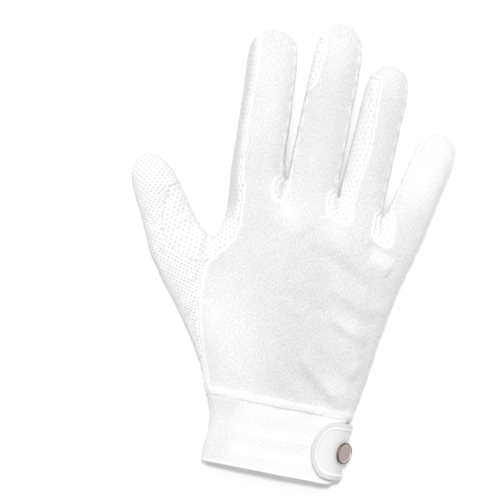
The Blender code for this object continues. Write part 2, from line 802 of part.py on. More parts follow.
def set_on_tab(thing, depth):
    """Puts a round piece on the tab's middle line, at a depth from the tab's outer face."""
    place, angle = tab_place(BUTTON_ALONG, tab_middle())
    outward = Vector((math.cos(angle), 0, math.sin(angle)))
    thing.location = place + outward * depth
    thing.rotation_euler = (0, math.pi / 2 - angle, 0)


def press_button(finish, parts):
    """The cap on the tab, with a raised rim round a dished face, and the hidden stud under the tab."""
    cap = turned("press_button", BUTTON_PROFILE, BUTTON_WIDTH, BUTTON_HEIGHT, finish, parts)
    set_on_tab(cap, CLEARANCE)
    stud = turned("press_stud", STUD_PROFILE, STUD_WIDTH, STUD_HEIGHT, finish, parts)
    set_on_tab(stud, -TAB - CLEARANCE - STUD_HEIGHT)


def stand_on_origin(parts):
    """Moves the whole glove so that the middle of its box stands on the origin."""
    graph = bpy.context.evaluated_depsgraph_get()
    corners = []
    for thing in parts.objects:
        shape = thing.evaluated_get(graph)
        corners += [shape.matrix_world @ vertex.co for vertex in shape.data.vertices]
    low = [min(corner[axis] for corner in corners) for axis in range(3)]
    high = [max(corner[axis] for corner in corners) for axis in range(3)]
    shift = Vector(((low[0] + high[0]) / 2, (low[1] + high[1]) / 2, low[2]))
    for thing in parts.objects:
        thing.location -= shift


def main():
    clear_scene()
    parts = new_collection("picot_glove")
    guides = new_collection("guides", guides=True)
    jersey = material("cotton_jersey", (0.90, 0.90, 0.91), 0.9)
    dotted = material("dotted_cotton", (0.86, 0.87, 0.88), 0.85)
    elastic = material("woven_elastic", (0.88, 0.88, 0.89), 0.8)
    metal = material("lacquered_steel", (0.42, 0.35, 0.33), 0.35, 0.8)
    form = hand_form(guides)
    cloth_cut("back_panel", form, BACK, jersey, parts)
    cloth_cut("palm_panel", form, PALM, dotted, parts)
    cloth_cut("thumb", form, THUMB, dotted, parts)
    cloth_cut("thumb_gusset", form, GUSSET, dotted, parts)
    webs = ("fourchette_index_middle", "fourchette_middle_ring", "fourchette_ring_little")
    for number, name in enumerate(webs):
        cloth_cut(name, form, FOURCHETTE + number, dotted, parts)
    cuff_band(elastic, parts)
    closure_tab(elastic, parts)
    press_button(metal, parts)
    bpy.context.view_layer.update()
    stand_on_origin(parts)


main()
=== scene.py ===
# %% [markdown]
# A white cotton riding glove lies on white paper with the back of the hand up. The imported model gives
# its size and its pieces. Everything here is modelled at the size of the real glove, in metres, so the
# first step loads that model.

# %% The frame
import math

import bmesh
import bpy
import numpy as np
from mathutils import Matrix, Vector
from mathutils.bvhtree import BVHTree
from mathutils.kdtree import KDTree


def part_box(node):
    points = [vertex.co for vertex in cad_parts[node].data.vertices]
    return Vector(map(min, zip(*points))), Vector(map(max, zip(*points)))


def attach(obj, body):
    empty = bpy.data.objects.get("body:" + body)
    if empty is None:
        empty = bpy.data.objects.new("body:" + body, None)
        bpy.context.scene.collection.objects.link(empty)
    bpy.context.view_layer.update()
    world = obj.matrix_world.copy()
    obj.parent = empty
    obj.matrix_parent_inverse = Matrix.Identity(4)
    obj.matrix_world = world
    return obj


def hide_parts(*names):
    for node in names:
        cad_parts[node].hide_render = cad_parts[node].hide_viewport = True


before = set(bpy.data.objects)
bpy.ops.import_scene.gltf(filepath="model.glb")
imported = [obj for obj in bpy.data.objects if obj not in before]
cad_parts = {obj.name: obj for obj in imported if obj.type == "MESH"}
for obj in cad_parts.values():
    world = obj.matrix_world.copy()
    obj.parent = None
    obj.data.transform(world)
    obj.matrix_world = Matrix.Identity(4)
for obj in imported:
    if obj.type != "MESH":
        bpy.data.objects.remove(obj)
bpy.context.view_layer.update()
MM = 0.001

# %% [markdown]
# Two helpers serve every material and every node tree. Colours are written as the hex values that a
# designer reads off a swatch, and Blender wants linear light, so one function turns them. Nodes are made
# by one function that sets their properties and fills or links their inputs.

# %% Colours and nodes
def colour(code):
    """Linear RGBA from an sRGB hex code."""
    parts = [int(code[place : place + 2], 16) / 255 for place in (1, 3, 5)]
    return [part / 12.92 if part <= 0.04045 else ((part + 0.055) / 1.055) ** 2.4 for part in parts] + [1]


def node(tree, kind, inputs=(), **settings):
    """Adds a node, sets its properties, and fills or links its inputs by name or number.

    A node that is given as an input stands for its first output.
    """
    made = tree.nodes.new(kind)
    for key, value in settings.items():
        setattr(made, key, value)
    for socket, value in dict(inputs).items():
        if isinstance(value, bpy.types.Node):
            value = value.outputs[0]
        if isinstance(value, bpy.types.NodeSocket):
            tree.links.new(value, made.inputs[socket])
        else:
            made.inputs[socket].default_value = value
    return made


print("linear value of the grey #808080:", round(colour("#808080")[0], 3))

# %% [markdown]
# The photograph looks straight down at the glove. A long lens high above the table gives that view with
# hardly any perspective. The glove leans 11 degrees to the right in the picture, so the camera is rolled
# by that much, and its frame is 250 mm wide.

# %% Camera
LEAN = math.radians(11)
PICTURE_WIDTH = 250 * MM
PICTURE_CENTRE = Vector((-13.2, -6.6, 8)) * MM
CAMERA_HEIGHT, NEAREST, SENSOR_MM = 1.5, 0.01, 36
lens = bpy.data.cameras.new("camera")
lens.sensor_width = SENSOR_MM
lens.lens = lens.sensor_width * CAMERA_HEIGHT / PICTURE_WIDTH
lens.clip_start = NEAREST
camera = bpy.data.objects.new("camera", lens)
camera.location = PICTURE_CENTRE + Vector((0, 0, CAMERA_HEIGHT))
camera.rotation_euler = (0, 0, LEAN)
bpy.context.scene.collection.objects.link(camera)
bpy.context.scene.camera = camera
print("lens in mm:", round(lens.lens))

# %% [markdown]
# The glove lies on plain white paper, which is matt and shows no highlight. One large flat face does
# that job. It reaches far past the picture's edges, so no horizon shows, and it lies a tenth of a
# millimetre below the glove, because two faces in one plane would flicker.

# %% The floor
FLOOR_REACH, FLOOR_BELOW = 3, 0.1 * MM


def new_material(name, constants):
    """A material with its shader's constant inputs set, its node tree and its shader."""
    made = bpy.data.materials.new(name)
    made.use_nodes = True
    shader = made.node_tree.nodes["Principled BSDF"]
    for label, value in constants.items():
        shader.inputs[label].default_value = value
    return made, made.node_tree, shader


def new_object(name, mesh, finish=None):
    """Links a mesh into the scene as a smooth piece with one finish."""
    made = bpy.data.objects.new(name, mesh)
    bpy.context.scene.collection.objects.link(made)
    mesh.shade_smooth()
    if finish:
        mesh.materials.clear()
        mesh.materials.append(finish)
    return made


corners = [(x * FLOOR_REACH, y * FLOOR_REACH, -FLOOR_BELOW) for x, y in ((-1, -1), (1, -1), (1, 1), (-1, 1))]
floor_mesh = bpy.data.meshes.new("floor")
floor_mesh.from_pydata(corners, [], [(0, 1, 2, 3)])
paper = new_material("white_paper", {"Base Color": colour("#ffffff"), "Roughness": 0.9})[0]
floor = new_object("floor", floor_mesh, paper)
print("side of the floor in m:", 2 * FLOOR_REACH)

# %% [markdown]
# White cloth on a white ground shows its form only through soft shading. The key light stands almost
# overhead, so the shadow stays short. A weaker, lower sun from the top of the picture gives the folds a
# bright and a dim side, a third from the left lifts the thumb, and the sky fills the rest. Suns light the
# whole floor evenly, where lamps close by would not. Their places are given as the picture shows them.

# %% Light
def table(columns, *lines):
    """The rows of a table, each read by its column names."""
    return [dict(zip(columns.split(), line)) for line in lines]


LIGHTS = table(
    "name right up height angle strength",
    ("key", 0.04, 0.26, 1.0, 8, 1.45),
    ("folds", 0.10, 1.10, 1.0, 25, 0.48),
    ("side", -0.60, 0.20, 1.0, 50, 0.40),
)
SKY_STRENGTH = 0.47
up_picture = Vector((-math.sin(LEAN), math.cos(LEAN), 0))
right_picture = Vector((math.cos(LEAN), math.sin(LEAN), 0))
for entry in LIGHTS:
    lamp = bpy.data.lights.new(entry["name"], "SUN")
    lamp.angle = math.radians(entry["angle"])
    lamp.energy = entry["strength"]
    place = right_picture * entry["right"] + up_picture * entry["up"] + Vector((0, 0, entry["height"]))
    light = bpy.data.objects.new(entry["name"], lamp)
    light.location = place
    light.rotation_euler = (-place).to_track_quat("-Z", "Y").to_euler()
    bpy.context.scene.collection.objects.link(light)
sky = bpy.data.worlds.new("sky")
sky.use_nodes = True
sky.node_tree.nodes["Background"].inputs["Color"].default_value = colour("#ffffff")
sky.node_tree.nodes["Background"].inputs["Strength"].default_value = SKY_STRENGTH
bpy.context.scene.world = sky
bpy.context.scene.view_settings.view_transform = "Standard"
print("suns:", {entry["name"]: entry["strength"] for entry in LIGHTS}, "sky:", SKY_STRENGTH)

# %% [markdown]
# The hand is built from the same sizes and section tables as the solids, because the cloth has to lie
# where they are. It is one coarse cage: rows across the palm, rings round each finger and the thumb, and
# each face knows which cut of cloth it belongs to. A lattice or sculpting could shape it too, but a cage
# with tables keeps every seam where the cutter put it.

# %% Sizes of the hand, and its cuts of cloth
PALM_LENGTH, PALM_WIDTH, PALM_DEPTH = 110 * MM, 100 * MM, 17.5 * MM
FINGER_DEPTH, FINGER_WIDTH = 13 * MM, 0.235 * PALM_WIDTH
CUFF_WIDTH, CUFF_DEPTH, CUFF_CROWN = 68 * MM, 12.5 * MM, 1.5 * MM
MIDDLE_SHARE, CROWN_POWER, SOLE_INSET, SWELL = 0.42, 2.3, 0.2, 1.07
BACK, PALM, THUMB, GUSSET, FOURCHETTE = 0, 1, 2, 3, 4
NODES = [
    "back_panel",
    "palm_panel",
    "thumb",
    "thumb_gusset",
    "fourchette_index_middle",
    "fourchette_middle_ring",
    "fourchette_ring_little",
]
print("cuts of cloth:", NODES)

# %% [markdown]
# The cage starts with sections of a lying glove: a flat sole, sides that bulge below the middle, and a
# crowned top. A power curve gives that crown with one number, where an ellipse would look blown up.

# %% Sections
def blend(start, end, share):
    return start + (end - start) * share


def ease(share):
    share = min(max(share, 0), 1)
    return share * share * (3 - 2 * share)


def crown(share, depth):
    """Height of the upper side at a share of the half width out from the middle."""
    middle = MIDDLE_SHARE * depth
    return middle + (depth - middle) * (1 - min(abs(share), 1) ** CROWN_POWER) ** (1 / CROWN_POWER)


class Cage:
    """The coarse surface of the hand, whose faces carry their cut of cloth."""

    def __init__(self):
        self.mesh = bmesh.new()

    def point(self, x, y, z):
        return self.mesh.verts.new((x, y, z))

    def quad(self, corners, cut):
        self.mesh.faces.new(corners).material_index = cut

    def strip(self, lower, upper, cuts):
        for place, cut in enumerate(cuts):
            self.quad((lower[place], lower[place + 1], upper[place + 1], upper[place]), cut)


heights = [round(crown(share, PALM_DEPTH) / MM, 1) for share in (0, 0.5, 0.9, 1)]
print("palm's height in mm from its middle to its side:", heights)

# %% [markdown]
# Each finger stands on the palm at its own place, with its own length and lean. Its rings say how wide and
# deep it is on the way to the tip. A third table says how far in from each side the seam of the back
# shows in the picture, as a share of half the finger's width.

# %% Places on a finger
FINGERS = table(
    "name length across up width depth lean",
    ("index", 78 * MM, 0.128, 1.000, 1.08, 1.00, -3.6),
    ("middle", 87 * MM, 0.411, 1.000, 1.03, 1.00, 0.0),
    ("ring", 76 * MM, 0.656, 0.955, 0.95, 0.97, 2.6),
    ("little", 54 * MM, 0.897, 0.895, 0.86, 0.90, 12.4),
)
FINGER_RINGS = table(
    "along width depth",
    (0.00, 1.08, 1.06),
    (0.17, 1.05, 1.02),
    (0.38, 1.01, 1.00),
    (0.59, 1.00, 0.97),
    (0.79, 1.00, 0.90),
    (0.93, 0.84, 0.74),
)
TIP_ALONG = 1.035
SEAM_SHOWS = {
    "index_left": (0.50, 0.44, 0.40, 0.48, 0.50, 0.20),
    "index_right": (0.30, 0.22, 0.07, 0.06, 0.06, 0.08),
    "middle_left": (0.10, 0.06, 0.06, 0.20, 0.26, 0.12),
    "middle_right": (0.26, 0.10, 0.06, 0.06, 0.06, 0.08),
    "ring_left": (0.60, 0.72, 0.92, 0.78, 0.66, 0.44),
    "ring_right": (0.12, 0.08, 0.08, 0.08, 0.08, 0.10),
    "little_left": (0.42, 0.14, 0.08, 0.08, 0.08, 0.10),
    "little_right": (0.10, 0.10, 0.10, 0.10, 0.10, 0.12),
}


def finger_point(finger, along, out, height):
    lean = math.radians(finger["lean"])
    x = finger["across"] * PALM_WIDTH + along * math.sin(lean) + out * math.cos(lean)
    y = finger["up"] * PALM_LENGTH + along * math.cos(lean) - out * math.sin(lean)
    return x, y, height


def beside_finger(finger, places):
    """How far places lie along a finger, as a share of it, and to its right."""
    lean = math.radians(finger["lean"])
    x = places[:, 0] - finger["across"] * PALM_WIDTH
    y = places[:, 1] - finger["up"] * PALM_LENGTH
    along = (x * math.sin(lean) + y * math.cos(lean)) / finger["length"]
    return along, x * math.cos(lean) - y * math.sin(lean)


print("finger lengths in mm:", {finger["name"]: round(finger["length"] / MM) for finger in FINGERS})

# %% [markdown]
# A ring has eight points: three on top, three below and one at each side. Rings are joined all the way
# round, and each face is given its cut of cloth at once. The tip closes along a short ridge, which
# subdivision turns into a rounded end.

# %% Fingers
def finger_ring(cage, finger, number, left=None, right=None):
    """Eight points round a finger: three on top, three below and one at each side."""
    ring = FINGER_RINGS[number]
    along = ring["along"] * finger["length"]
    half = SWELL * ring["width"] * finger["width"] * FINGER_WIDTH / 2
    depth = SWELL * ring["depth"] * finger["depth"] * FINGER_DEPTH
    left_seam = 1 - SEAM_SHOWS[finger["name"] + "_left"][number]
    right_seam = 1 - SEAM_SHOWS[finger["name"] + "_right"][number]
    shares = (-left_seam, (right_seam - left_seam) / 2, right_seam)
    top = [cage.point(*finger_point(finger, along, share * half, crown(share, depth))) for share in shares]
    sole = 1 - SOLE_INSET
    below = [cage.point(*finger_point(finger, along, share * half, 0)) for share in (-sole, 0, sole)]
    side = MIDDLE_SHARE * depth
    left = left or cage.point(*finger_point(finger, along, -half, side))
    right = right or cage.point(*finger_point(finger, along, half, side))
    return {"left": left, "right": right, "top": top, "below": below}


def join_rings(cage, lower, upper, cuts):
    """Joins two rings all the way round, over the top from left to right and back below."""
    low, high = [
        [ring["left"], *ring["top"], ring["right"], *reversed(ring["below"])] for ring in (lower, upper)
    ]
    count = len(low)
    for place in range(count):
        after = (place + 1) % count
        cage.quad((low[place], low[after], high[after], high[place]), cuts[place])


def add_finger(cage, finger, root, left_cut, right_cut):
    """A finger on its root ring, closed on a short ridge at the tip."""
    rings = [root] + [finger_ring(cage, finger, number) for number in range(1, len(FINGER_RINGS))]
    lower_right = PALM if right_cut == BACK else right_cut
    cuts = [left_cut, BACK, BACK, right_cut, lower_right, PALM, PALM, left_cut]
    for lower, upper in zip(rings, rings[1:]):
        join_rings(cage, lower, upper, cuts)
    height = MIDDLE_SHARE * SWELL * finger["depth"] * FINGER_DEPTH * FINGER_RINGS[-1]["depth"]
    tip = cage.point(*finger_point(finger, TIP_ALONG * finger["length"], 0, height))
    last = rings[-1]
    for side, cut in (("top", BACK), ("below", PALM)):
        first, middle, third = last[side]
        patches = [(last["left"], first, middle, tip), (tip, middle, third, last["right"])]
        for corners in patches:
            cage.quad(corners if side == "top" else corners[::-1], cut)


print("rings on a finger:", len(FINGER_RINGS))

# %% [markdown]
# The palm's rows run from the cuff seam to the finger roots. Their columns draw in towards the tongues of
# the strips between the fingers, and each tongue's foot is rounded. One table places the crotches and the
# tongues' feet, the other the rows, as shares of the palm's length and width.

# %% Columns of the palm
TONGUE_WIDTH = 10 * MM
CROTCHES = table(
    "across up foot_across foot_up width",
    (0.284, 1.022, 0.275, 0.935, 0.36),
    (0.542, 0.985, 0.582, 0.888, 0.85),
    (0.778, 0.938, 0.806, 0.795, 0.80),
)
PALM_ROWS = table(
    "up cuff seam radial ulnar depth",
    (0.00, 1.00, 0.132, 0.125, 1.213, 0.00),
    (0.14, 0.50, 0.042, 0.036, 1.018, 0.50),
    (0.29, 0.15, -0.028, -0.063, 0.921, 0.90),
    (0.44, 0.00, -0.060, -0.090, 0.895, 1.00),
    (0.59, 0.00, -0.066, -0.090, 0.918, 1.00),
    (0.70, 0.00, 0.090, -0.055, 0.938, 1.00),
    (0.81, 0.00, 0.090, -0.022, 0.962, 0.95),
    (0.91, 0.00, 0.072, -0.018, 0.988, 0.80),
)
FOOT_ROUND = (0.0, 0.45, 1.0)
OUTER_ROOTS_UP, ROOT_COLUMNS = (0.985, 0.875), (0.2, 0.5, 0.8)
EACH = len(ROOT_COLUMNS) + 1


def root_heights():
    """How far up each column of the palm reaches at the finger roots."""
    edges = [OUTER_ROOTS_UP[0], *(crotch["up"] for crotch in CROTCHES), OUTER_ROOTS_UP[1]]
    heights = []
    for number in range(len(FINGERS)):
        heights += [blend(edges[number], edges[number + 1], share) for share in ROOT_COLUMNS]
        if number < len(CROTCHES):
            heights.append(CROTCHES[number]["up"])
    return heights


def foot_across(column, seam, far_seam):
    """Where a column lies across the palm's last row: at a tongue's edge or middle, or midway."""
    number, place = divmod(column, EACH)
    left, right, middle = seam, far_seam, None
    if number > 0:
        before = CROTCHES[number - 1]
        left = before["foot_across"] * PALM_WIDTH + before["width"] * TONGUE_WIDTH / 2
    if number < len(CROTCHES):
        after = CROTCHES[number]
        middle = after["foot_across"] * PALM_WIDTH
        right = middle - after["width"] * TONGUE_WIDTH / 2
    return (left, (left + right) / 2, right, middle)[place]


def foot_up(column, up):
    """How far up a column lies in the palm's last row, where each tongue's foot is rounded."""
    away = [abs(column - (EACH * number + EACH - 1)) for number in range(len(CROTCHES))]
    foot = CROTCHES[away.index(min(away))]["foot_up"] * PALM_LENGTH
    return blend(foot, up, FOOT_ROUND[min(*away, len(FOOT_ROUND) - 1)])


print("columns across the palm:", len(root_heights()))

# %% [markdown]
# Each row has its top points, its points below and one at each side. Where the thumb will be set in, the
# rows have no point on that side, and the faces there are left out.

# %% Palm
THUMB_ROWS, GATHER_FROM, GATHER_OVER = (1, 5), 0.45, 0.46


def palm_rows(cage):
    """The palm's rows of points from the cuff seam to just below the finger roots."""
    heights = root_heights()
    last = len(heights) - 1
    inset = SOLE_INSET * FINGER_WIDTH / 2
    rows = []
    for number, line in enumerate(PALM_ROWS):
        span = blend(PALM_WIDTH, CUFF_WIDTH, line["cuff"])
        left, right, seam = line["radial"] * span, line["ulnar"] * span, line["seam"] * span
        far_seam = right - SEAM_SHOWS["little_right"][0] * FINGER_WIDTH / 2
        depth = SWELL * blend(CUFF_DEPTH + CUFF_CROWN, PALM_DEPTH, line["depth"])
        gather = ease((line["up"] - GATHER_FROM) / GATHER_OVER)
        top, below = [], []
        for column, height in enumerate(heights):
            x = blend(seam, far_seam, column / last)
            y = line["up"] * height * PALM_LENGTH
            if 0 < column < last:
                x = blend(x, foot_across(column, seam, far_seam), gather)
            if line is PALM_ROWS[-1]:
                y = foot_up(column, y)
            share = (x - (left + right) / 2) / ((right - left) / 2)
            top.append(cage.point(x, y, crown(share, depth)))
            below.append(cage.point(min(max(x, left + inset), right - inset), y, 0))
        side = MIDDLE_SHARE * depth
        inside_hole = THUMB_ROWS[0] < number < THUMB_ROWS[1]
        left_point = None if inside_hole else cage.point(left, line["up"] * heights[0] * PALM_LENGTH, side)
        right_point = cage.point(right, line["up"] * heights[-1] * PALM_LENGTH, side)
        rows.append({"left": left_point, "right": right_point, "top": top, "below": below})
    return rows


def add_palm(cage):
    rows = palm_rows(cage)
    columns = len(rows[0]["top"]) - 1
    first, last = THUMB_ROWS
    for number, (low, high) in enumerate(zip(rows, rows[1:]), start=1):
        cage.strip(low["top"], high["top"], [BACK] * columns)
        cage.strip(high["below"], low["below"], [PALM] * columns)
        cage.quad((low["top"][-1], low["right"], high["right"], high["top"][-1]), BACK)
        cage.quad((low["right"], low["below"][-1], high["below"][-1], high["right"]), PALM)
        if not first < number <= last:
            cage.quad((low["left"], low["top"][0], high["top"][0], high["left"]), PALM)
            cage.quad((low["below"][0], low["left"], high["left"], high["below"][0]), PALM)
    return rows


print("rows of the palm:", len(PALM_ROWS), "with the thumb's hole between rows", THUMB_ROWS)

# %% [markdown]
# The fingers share one crotch point between two neighbours, so the web between them stays closed. The
# faces round it belong to the strip of dotted cloth that is sewn in there.

# %% Fingers on the palm
def add_fingers(cage, palm):
    """The four fingers on the palm's last row."""
    side = MIDDLE_SHARE * SWELL * FINGER_DEPTH
    spots = [(crotch["across"] * PALM_WIDTH, crotch["up"] * PALM_LENGTH, side) for crotch in CROTCHES]
    ends = [None, *(cage.point(*spot) for spot in spots), None]
    roots = [finger_ring(cage, finger, 0, *ends[place : place + 2]) for place, finger in enumerate(FINGERS)]
    for number, root in enumerate(roots):
        low = EACH * number
        web = FOURCHETTE + number
        inner = number < len(CROTCHES)
        cage.strip(palm["top"][low : low + 3], root["top"], (BACK, BACK))
        cage.strip(root["below"][::-1], palm["below"][low : low + 3][::-1], (PALM, PALM))
        if inner:
            far = roots[number + 1]
            foot, below = palm["top"][low + 2 : low + 5], palm["below"][low + 2 : low + 5][::-1]
            cage.strip(foot, (root["top"][2], root["right"], far["top"][0]), (web, web))
            cage.strip((far["below"][0], root["right"], root["below"][2]), below, (web, web))
        add_finger(cage, FINGERS[number], root, web - 1 if number else PALM, web if inner else BACK)
    index, little = roots[0], roots[-1]
    cage.quad((palm["left"], palm["top"][0], index["top"][0], index["left"]), PALM)
    cage.quad((palm["below"][0], palm["left"], index["left"], index["below"][0]), PALM)
    cage.quad((palm["top"][-1], palm["right"], little["right"], little["top"][-1]), BACK)
    cage.quad((palm["right"], palm["below"][-1], little["below"][-1], little["right"]), PALM)


print("strips between the fingers:", len(CROTCHES))

# %% [markdown]
# The thumb is set into the hole, as a tailor sets a sleeve. Its first ring is the hole's own edge, so the
# two cuts meet stitch for stitch. The columns on the index finger's side belong to the leaf-shaped gusset.
# Each ring is given by its two edges, because the thumb's sections lie askew to its length.

# %% Rings of the thumb
THUMB_LENGTH, THUMB_WIDTH, THUMB_DEPTH = 72 * MM, 22 * MM, 13.5 * MM
THUMB_LEAN, THUMB_FOOT, THUMB_TIP = math.radians(33), (-0.063, 0.47), 1.04
THUMB_RINGS = table(
    "right_up right_out left_up left_out gusset depth",
    (0.320, 0.66, -0.22, -0.53, 0.32, 1.05),
    (0.360, 0.64, 0.06, -0.60, 0.56, 1.05),
    (0.420, 0.61, 0.30, -0.68, 0.76, 1.04),
    (0.540, 0.59, 0.53, -0.56, 0.80, 1.02),
    (0.710, 0.55, 0.71, -0.50, 0.14, 1.00),
    (0.900, 0.42, 0.90, -0.46, 0.20, 0.84),
)
GUSSET_COLUMN, LAST_COLUMN, BELOW_COLUMNS = 0.4, 0.94, 5


def thumb_place(up, out):
    x = THUMB_FOOT[0] * PALM_WIDTH - up * math.sin(THUMB_LEAN) + out * math.cos(THUMB_LEAN)
    y = THUMB_FOOT[1] * PALM_LENGTH + up * math.cos(THUMB_LEAN) + out * math.sin(THUMB_LEAN)
    return Vector((x, y))


def thumb_ring(cage, ring):
    """Twelve points round the thumb: five on top, five below and one at each edge."""
    right = thumb_place(ring["right_up"] * THUMB_LENGTH, ring["right_out"] * THUMB_WIDTH)
    left = thumb_place(ring["left_up"] * THUMB_LENGTH, ring["left_out"] * THUMB_WIDTH)
    depth = SWELL * ring["depth"] * THUMB_DEPTH
    gusset = ring["gusset"]
    shares = [GUSSET_COLUMN * gusset] + [blend(gusset, LAST_COLUMN, step / 3) for step in range(4)]

    def place(share, height):
        spot = (left + right) / 2 + (left - right) / 2 * SWELL * (2 * share - 1)
        return cage.point(spot.x, spot.y, height)

    top = [place(share, crown(2 * share - 1, depth)) for share in shares]
    below = [place((number + 0.5) / BELOW_COLUMNS, 0) for number in range(BELOW_COLUMNS)]
    side = MIDDLE_SHARE * depth
    return {"left": place(0, side), "right": place(1, side), "top": top, "below": below}


print("rings of the thumb:", len(THUMB_RINGS))

# %% [markdown]
# Rings are joined from the hole to the tip, where a ridge of three points closes the thumb. The function
# gives back the line along which the thumb's own cloth is sewn to itself.

# %% Thumb
GUSSET_RINGS, RIDGE_ENDS, CORNER_RISE = 5, 0.35, 0.75


def add_thumb(cage, rows):
    """The thumb, from the hole on the radial side to its tip."""
    first, last = THUMB_ROWS
    hole = rows[first : last + 1]
    corner, seam = hole[-1]["left"], hole[-2]["top"][0]
    between = (corner.co + seam.co) / 2
    web = cage.point(between.x, between.y, blend(corner.co.z, seam.co.z, CORNER_RISE))
    cage.quad((seam, hole[-1]["top"][0], corner, web), PALM)
    ring = {
        "left": corner,
        "right": hole[0]["left"],
        "top": [web] + [line["top"][0] for line in reversed(hole[:-1])],
        "below": [line["below"][0] for line in reversed(hole)],
    }
    rings = [ring]
    for number, section in enumerate(THUMB_RINGS):
        following = thumb_ring(cage, section)
        leaf = GUSSET if number < GUSSET_RINGS else THUMB
        join_rings(cage, following, ring, [leaf, leaf] + [THUMB] * 2 * BELOW_COLUMNS)
        ring = following
        rings.append(ring)
    last_ring = THUMB_RINGS[-1]
    ridge = []
    for share in (0.5, 0, -0.5):
        up = blend(last_ring["right_up"], THUMB_TIP, blend(RIDGE_ENDS, 1, 1 - share * share)) * THUMB_LENGTH
        spot = thumb_place(up, share * last_ring["right_out"] * THUMB_WIDTH)
        ridge.append(cage.point(spot.x, spot.y, MIDDLE_SHARE * SWELL * last_ring["depth"] * THUMB_DEPTH))
    spine = [ring["left"], *ridge, ring["right"]]
    for side in ("top", "below"):
        edge = [ring["left"], *ring[side], ring["right"]]
        for place in range(3):
            corners = (spine[place], edge[place + 1], edge[place + 2], spine[place + 1])
            cage.quad(corners if side == "below" else corners[::-1], THUMB)
        corners = (spine[3], edge[4], edge[5], edge[6])
        cage.quad(corners if side == "below" else corners[::-1], THUMB)
    return [ring["left"] for ring in rings[GUSSET_RINGS:]] + ridge + [ring["right"]]


print("rings beside the gusset:", GUSSET_RINGS)

# %% [markdown]
# Now the cage is put together. The thumb's seam to itself is marked, because a closed sleeve can't be
# laid flat without it.

# %% The cage
cage = Cage()
hand_rows = add_palm(cage)
add_fingers(cage, hand_rows[-1])
tip_seam = add_thumb(cage, hand_rows)
bmesh.ops.recalc_face_normals(cage.mesh, faces=cage.mesh.faces)
for lower, upper in zip(tip_seam, tip_seam[1:]):
    for edge in lower.link_edges:
        if upper in edge.verts:
            edge.seam = True
cage_mesh = bpy.data.meshes.new("hand_cage")
cage.mesh.to_mesh(cage_mesh)
cage.mesh.free()
print("faces of the cage:", len(cage_mesh.polygons))

# %% [markdown]
# The cage becomes a smooth form by subdivision. The first level stays coarse and keeps its points outside
# the final surface, so that later levels can still be taken from it.

# %% The first level
def subdivided(mesh, levels, on_limit=True):
    """A smoother copy of a mesh, with its points on the final surface or still outside it."""
    holder = new_object("holder", mesh)
    smooth = holder.modifiers.new("smooth", "SUBSURF")
    smooth.levels = smooth.render_levels = levels
    smooth.use_limit_surface = on_limit
    made = bpy.data.meshes.new_from_object(holder.evaluated_get(bpy.context.evaluated_depsgraph_get()))
    bpy.data.objects.remove(holder)
    return made


coarse = subdivided(cage_mesh, 1, on_limit=False)
print("faces of the first level:", len(coarse.polygons))

# %% [markdown]
# On the real glove the jersey of the back wraps over the side of most fingers before it meets the strip.
# So the back takes over a row of faces there, and the far half of the first tongue. The strips end below
# the fingertips, where back and palm meet. Faces are given to another cut here, and no point moves.

# %% Where the back wraps round
STRIP_END, SIDE_OUT = 0.86, 0.8
WRAPS = table(
    "finger way from_along to_along",
    (0, 1, 0.38, 1.00),
    (1, -1, 0.00, 0.59),
    (1, 1, 0.00, 1.00),
    (2, 1, 0.00, 1.00),
    (3, -1, 0.17, 1.00),
)


def wrap_back(mesh):
    """Gives the back the faces that it wraps over and half the first tongue, and ends the strips."""
    owners = {}
    for face in mesh.polygons:
        for key in face.edge_keys:
            owners.setdefault(key, []).append(face.material_index)
    middles = np.array([face.center for face in mesh.polygons])
    wrapped, beyond = np.zeros((2, len(middles)), dtype=bool)
    for finger in FINGERS:
        along, right = beside_finger(finger, middles)
        beyond |= (along > STRIP_END) & (abs(right) < SIDE_OUT * FINGER_WIDTH)
    for wrap in WRAPS:
        along, right = beside_finger(FINGERS[wrap["finger"]], middles)
        out = wrap["way"] * right / FINGER_WIDTH
        wrapped |= (along > wrap["from_along"]) & (along < wrap["to_along"]) & (out > 0) & (out < SIDE_OUT)
    first = CROTCHES[0]
    share = (middles[:, 1] / PALM_LENGTH - first["foot_up"]) / (first["up"] - first["foot_up"])
    line = blend(first["foot_across"], first["across"], share) * PALM_WIDTH
    far_half = (middles[:, 0] > line) & (share < 1)
    for face, here, past, far in zip(mesh.polygons, wrapped, beyond, far_half):
        beside_back = any(BACK in owners[key] for key in face.edge_keys)
        if face.material_index >= FOURCHETTE and past:
            face.material_index = BACK if face.normal.z > 0 else PALM
        elif face.material_index == FOURCHETTE and far and face.normal.z > 0:
            face.material_index = BACK
        elif face.material_index >= FOURCHETTE and here and beside_back:
            face.material_index = BACK


wrap_back(coarse)
print("faces of the back:", sum(face.material_index == BACK for face in coarse.polygons))

# %% [markdown]
# The cloth is then laid out flat. Unwrapping the coarse level along the seams does what a pattern cutter
# does: each cut becomes a flat shape, nearly at its true size. That flat layout is kept as a UV map in
# metres, and the knit and the grip dots follow it.

# %% The flat layout
FLAT, ISLAND_MARGIN = "flat_cut", 0.01


def polygon_area(corners):
    """The signed area of a flat polygon."""
    return sum(a.cross(b) for a, b in zip(corners, corners[1:] + corners[:1])) / 2


